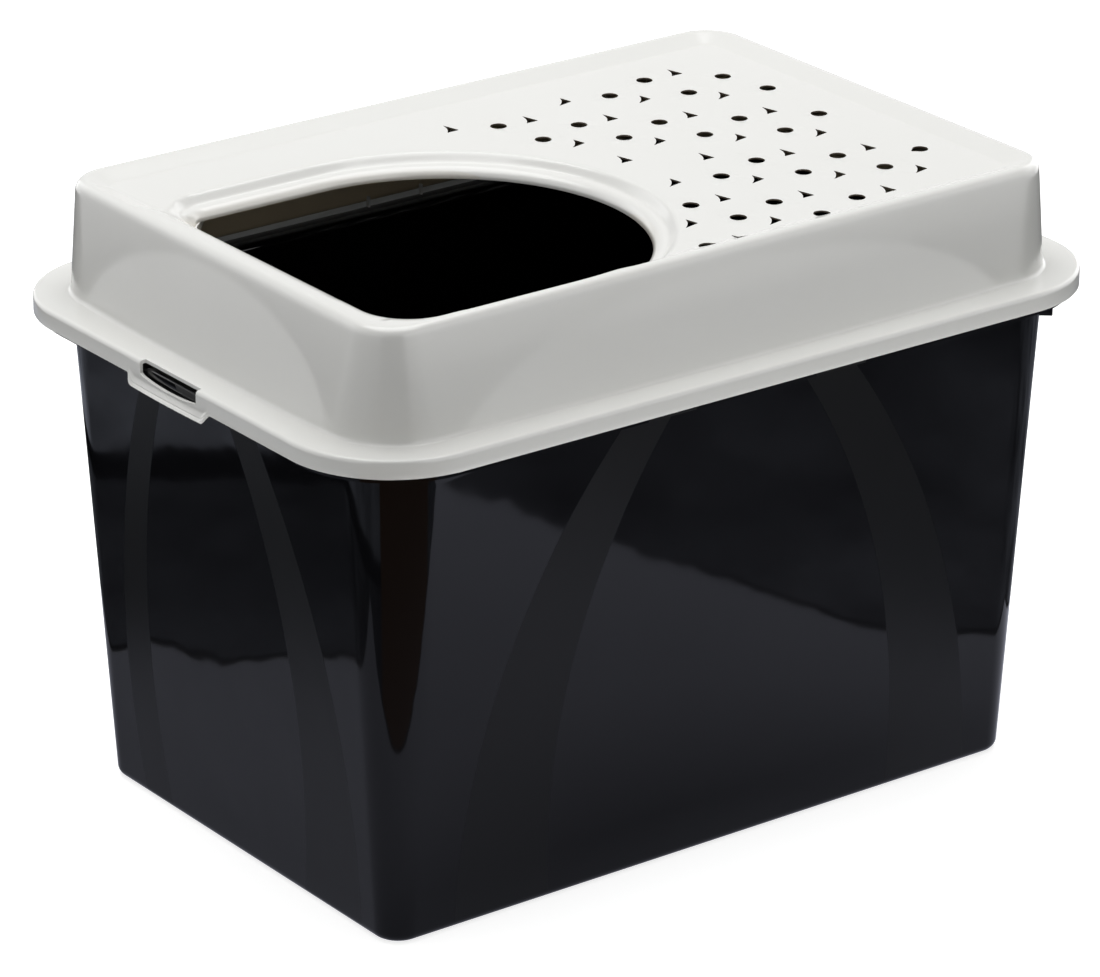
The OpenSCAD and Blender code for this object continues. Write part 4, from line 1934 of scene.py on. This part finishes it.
@dataclass
class Studio:
    """Camera at the photograph's angle, pale floor, soft lamps, and what the tub's walls reflect.

    Places and reaches are in metres. The paper's outline is in millimetres, seen from above.
    """

    camera_at: tuple[float, float, float] = (-1.99976, -2.70260, 1.57752)
    azimuth: float = 36.4
    elevation: float = 22.5
    lens: float = 191.3
    ambient: float = 0.30
    floor_tone: float = 0.7
    floor_lift: float = 0.80
    cloth_reach: float = 2.1
    gap_width: float = 0.009
    gap_glow: float = 0.02
    cloth_edges: tuple[float, float, float] = (0.685, 0.735, 1.15)
    paper_tint: tuple[float, float, float] = (0.93, 0.96, 1.14)
    cloth_tint: tuple[float, float, float] = (0.92, 0.98, 1.16)
    warm_tint: tuple[float, float, float] = (0.16, 0.075, 0.02)
    warm_from: float = 0.87
    softbox_reach: float = 1.7
    paper: tuple[tuple[float, float], ...] = (
        (92, -653), (168, -483), (246, -322), (260, -306), (301, -278), (430, -200), (430, 230),
        (250, 420), (-200, 420), (-326, 289), (-333, 284), (-352, 279), (-358, 262), (-361, 239),
        (-367, 216), (-384, 209), (-400, 200), (-652, -103))

    def camera(self) -> None:
        """Set up the camera."""
        data = bpy.data.cameras.new("view")
        data.lens = self.lens
        data.sensor_width = 36.0
        data.clip_end = 50.0
        cam = bpy.data.objects.new("view", data)
        bpy.context.scene.collection.objects.link(cam)
        a, e = math.radians(self.azimuth), math.radians(self.elevation)
        forward = Vector((math.sin(a) * math.cos(e), math.cos(a) * math.cos(e), -math.sin(e)))
        cam.location = self.camera_at
        cam.rotation_euler = forward.to_track_quat("-Z", "Y").to_euler()
        bpy.context.scene.camera = cam

    def seen(self, net: Net) -> Socket:
        """Give 1 for rays from the camera, mirrors and glass.

        Args:
            net: the nodes of a material or of the world.

        Returns:
            A value of 0 or 1.
        """
        path = net.add("ShaderNodeLightPath")
        total = net.math("ADD", path.outputs["Is Camera Ray"], path.outputs["Is Glossy Ray"])
        return net.math("ADD", total, path.outputs["Is Transmission Ray"], clamp=True)

    def floor(self) -> None:
        """Lay a pale floor that shows white and keeps the shadow."""
        bpy.ops.object.select_all(action="DESELECT")
        bpy.ops.mesh.primitive_plane_add(size=40, location=(0, 0, -0.0002))
        plane = bpy.context.active_object
        plane.name = "floor"
        net = Net("floor_paper")
        diffuse = net.add("ShaderNodeBsdfDiffuse")
        diffuse.inputs["Color"].default_value = (self.floor_tone, self.floor_tone, self.floor_tone, 1)
        glow = net.add("ShaderNodeEmission")
        lift = net.math("MULTIPLY", self.seen(net), self.floor_lift)
        net.link(lift, glow.inputs["Strength"])
        both = net.add("ShaderNodeAddShader")
        net.link(diffuse.outputs[0], both.inputs[0])
        net.link(glow.outputs[0], both.inputs[1])
        net.link(both.outputs[0], net.out.inputs["Surface"])
        plane.data.materials.append(net.material)

    def world(self) -> None:
        """Fill the surroundings with an even light that shows white."""
        world = bpy.data.worlds.new("surround")
        bpy.context.scene.world = world
        world.use_nodes = True
        net = Net.of_world(world)
        back = net.add("ShaderNodeBackground")
        net.link(net.ramp(self.seen(net), self.ambient, 1.0), back.inputs["Strength"])
        net.link(back.outputs[0], net.out.inputs["Surface"])

    def card(self, name: str, rings: list[list[tuple[float, float, float]]], material: bpy.types.Material,
             closed: bool = True) -> None:
        """Stand a card that only reflections show.

        Args:
            name: the card's name.
            rings: rows of corners in metres, joined row to row.
            material: what it looks like.
            closed: whether each row runs back to its start.
        """
        n = len(rings[0])
        verts = [p for ring in rings for p in ring]
        faces = [(r * n + k, r * n + (k + 1) % n, (r + 1) * n + (k + 1) % n, (r + 1) * n + k)
                 for r in range(len(rings) - 1) for k in range(n if closed else n - 1)]
        mesh = bpy.data.meshes.new(name)
        mesh.from_pydata(verts, [], faces)
        mesh.materials.append(material)
        card = bpy.data.objects.new(name, mesh)
        bpy.context.scene.collection.objects.link(card)
        card.visible_camera = card.visible_diffuse = card.visible_shadow = False
        card.visible_transmission = card.visible_volume_scatter = False

    def surround(self) -> None:
        """Lay paper under the tub and dark cloth round it, for the tub's walls to reflect.

        The paper's glow is painted light: darker towards the left and back, and with painted shade near the
        tub, most in front of its foot. A thin dark strip along its edge is a painted shadow.
        """
        edge = [(x * MM, y * MM) for x, y in self.paper]
        net = Net("paper_sheet")
        where = net.add("ShaderNodeTexCoord").outputs["Object"]
        x, y, _ = net.split(where)
        # Painted light on the paper: darker towards the left and back, patchy, and with painted shade near
        # the tub and in front of its foot.
        side = net.math("MULTIPLY", net.math("SUBTRACT", net.math("MULTIPLY", x, 0.8), y), 1.1)
        base = net.math("ADD", net.math("MULTIPLY", side, 0.30), 0.49)
        out = net.math("MULTIPLY", net.math("SUBTRACT", net.from_middle(x, y), 0.2), 2.5, clamp=True)
        patchy = net.math("MULTIPLY", base, net.ramp(net.noise(3.0, 2.0, where), 0.85, 1.15))
        level = net.math("MULTIPLY", patchy, net.ramp(out, 0.80, 1.55))
        foot = net.math("SUBTRACT", 1.0, net.math("MULTIPLY", out, 3.0), clamp=True)
        ahead = net.math("MULTIPLY", net.math("SUBTRACT", -0.165, y), 30.0, clamp=True)
        level = net.math("MULTIPLY", level, net.ramp(net.math("MULTIPLY", foot, ahead), 1.0, 0.70))
        glow = net.add("ShaderNodeEmission")
        glow.inputs["Color"].default_value = (*self.paper_tint, 1)
        net.link(level, glow.inputs["Strength"])
        net.link(glow.outputs[0], net.out.inputs["Surface"])
        self.card("paper", [[(0, 0, 0.0003)] * len(edge), [(x, y, 0.0003) for x, y in edge]], net.material)
        # Painted shadow: a thin dark strip along the paper's edge.
        black = Net("paper_gap")
        shade = black.add("ShaderNodeEmission")
        shade.inputs["Strength"].default_value = self.gap_glow
        black.link(shade.outputs[0], black.out.inputs["Surface"])
        wider = [1 + self.gap_width / math.hypot(x, y) for x, y in edge]
        furthest = [self.cloth_reach / math.hypot(x, y) for x, y in edge]
        for name, z, shares, look in (("paper_gap", 0.0006, wider, black.material),
                                      ("cloth", 0.0004, furthest, self.cloth_look())):
            rim = [(x * k, y * k, z) for (x, y), k in zip(edge, shares)]
            self.card(name, [[(x, y, z) for x, y in edge], rim], look)

    def cloth_look(self) -> bpy.types.Material:
        """Build the dark cloth's material, brown towards the camera and hazy further out.

        Returns:
            The material.
        """
        net = Net("dark_cloth")
        where = net.add("ShaderNodeTexCoord").outputs["Object"]
        x, y, _ = net.split(where)
        far = net.from_middle(x, y)
        a = math.radians(self.azimuth)
        ahead = net.math("ADD", net.math("MULTIPLY", x, -math.sin(a)), net.math("MULTIPLY", y, -math.cos(a)))
        front = net.math("GREATER_THAN", net.math("DIVIDE", ahead, far), self.warm_from)
        gap_start, gap_end, near_end = self.cloth_edges
        before = net.math("LESS_THAN", far, gap_end)
        gap = net.math("MULTIPLY", net.math("GREATER_THAN", far, gap_start), before)
        beyond = net.math("GREATER_THAN", far, gap_end)
        cloud = net.noise(7.0, 4.0, where)
        weave = net.noise(160.0, 2.0, where)
        left = net.math("GREATER_THAN", y, x)
        cloth = net.math("MULTIPLY", net.ramp(cloud, -0.15, 0.45), net.ramp(weave, 0.5, 1.5))
        cloth = net.math("MULTIPLY", cloth, net.ramp(left, 1.15, 0.48))
        near = net.math("SUBTRACT", 1.0, net.math("GREATER_THAN", far, near_end))
        haze = net.math("MULTIPLY", net.ramp(net.noise(5.0, 3.0, where), -0.35, 0.95), near)
        on_left = net.math("SUBTRACT", 1.0, net.math("MULTIPLY", gap, left))
        level = net.math("MULTIPLY", net.math("MULTIPLY", cloth, on_left), net.ramp(near, 0.25, 1.0))
        far_haze = net.math("MULTIPLY", net.math("MULTIPLY", haze, beyond), left)
        level = net.math("ADD", level, far_haze, clamp=True)
        cool = net.add("ShaderNodeMixRGB", blend_type="MULTIPLY")
        cool.inputs[0].default_value = 1.0
        net.link(level, cool.inputs[1])
        cool.inputs[2].default_value = (*self.cloth_tint, 1)
        glow = net.add("ShaderNodeEmission")
        net.link(net.mix(front, cool.outputs[0], self.warm_tint), glow.inputs["Color"])
        net.link(glow.outputs[0], net.out.inputs["Surface"])
        return net.material

    def softbox(self, name: str, foot: tuple[tuple[float, float], ...], high: float, strength: float) -> None:
        """Stand a bright curved panel that only reflections show.

        Args:
            name: the panel's name.
            foot: its lower edge, as directions in degrees anticlockwise from +X and heights.
            high: height of its upper edge.
            strength: its brightness.
        """
        net = Net(name)
        glow = net.add("ShaderNodeEmission")
        glow.inputs["Strength"].default_value = strength
        net.link(glow.outputs[0], net.out.inputs["Surface"])
        where, lows = np.array(foot).T
        turn = np.linspace(where[0], where[-1], 97)
        flat = self.softbox_reach * np.stack([np.cos(np.radians(turn)), np.sin(np.radians(turn))], 1)
        rings = [[(x, y, z) for (x, y), z in zip(flat.tolist(), level)]
                 for level in (np.interp(turn, where, lows).tolist(), [high] * len(turn))]
        self.card(name, rings, net.material, closed=False)

    def lamp(self, name: str, at: tuple[float, float, float], size: tuple[float, float], watts: float,
             mirrored: bool = True) -> None:
        """Hang one soft lamp that points at the object.

        Args:
            name: the lamp's name.
            at: its place in metres.
            size: its width and height in metres.
            watts: its power.
            mirrored: whether reflections show it.
        """
        data = bpy.data.lights.new(name, "AREA")
        data.shape = "RECTANGLE"
        data.size, data.size_y = size
        data.energy = watts
        lamp = bpy.data.objects.new(name, data)
        bpy.context.scene.collection.objects.link(lamp)
        lamp.location = at
        lamp.visible_glossy = mirrored
        lamp.rotation_euler = (Vector((0, 0, 0.2)) - Vector(at)).to_track_quat("-Z", "Y").to_euler()

    def bounce(self, name: str, at: tuple[float, float, float], size: tuple[float, float],
               watts: float) -> None:
        """Lay one soft lamp on the floor, for the light that white paper throws up under the lid.

        Args:
            name: the lamp's name.
            at: its place in metres.
            size: its size along X and Y in metres.
            watts: its power.
        """
        self.lamp(name, at, size, watts, mirrored=False)
        lamp = bpy.data.objects[name]
        lamp.rotation_euler = (math.pi, 0, 0)
        lamp.visible_camera = False

    def build(self) -> None:
        """Set up camera, floor, surroundings and lamps."""
        bpy.context.scene.view_settings.view_transform = "Standard"
        self.camera()
        self.floor()
        self.world()
        self.surround()
        self.softbox("softbox_right", ((-106, 0.0), (-61, 0.0), (-56, 0.09), (28, 0.09)), 1.6, 3.2)
        self.softbox("softbox_left", ((85, 0.09), (134, 0.09), (139, 0.0), (212, 0.0)), 1.6, 2.3)
        self.lamp("overhead", (0.1, 0.30, 2.6), (2.2, 2.2), 57.0)
        self.bounce("bounce_front", (0.0, -0.33, 0.004), (0.62, 0.16), 1.25)
        self.bounce("bounce_left", (-0.41, 0.0, 0.004), (0.16, 0.40), 0.5)


def main() -> None:
    """Build the studio and the pieces in order."""
    logging.basicConfig(level=logging.INFO, format="%(name)s %(message)s")
    Studio().build()
    shell, black = ShellPlastic().make(), TubPlastic().make()
    lid = Lid()
    lid.build_flange(shell)
    lid.build_hood(shell)
    lid.build_tab(shell)
    lid.build_seat(shell)
    # The ribs' plastic leaves out the painted warm glow.
    lid.build_ribs(ShellPlastic(name="rib_plastic", inner=ShellPlastic.tint).make())
    tub = Tub()
    tub.build_shell(black)
    tub.build_catch(black)
    hinge = Hinge()
    for side, end in ((-1, "front"), (1, "rear")):
        hinge.build_lug(side, f"hinge_lug_{end}", black)
        hinge.build_arm(side, f"hinge_hook_{end}", shell)


if __name__ == "__main__":
    main()
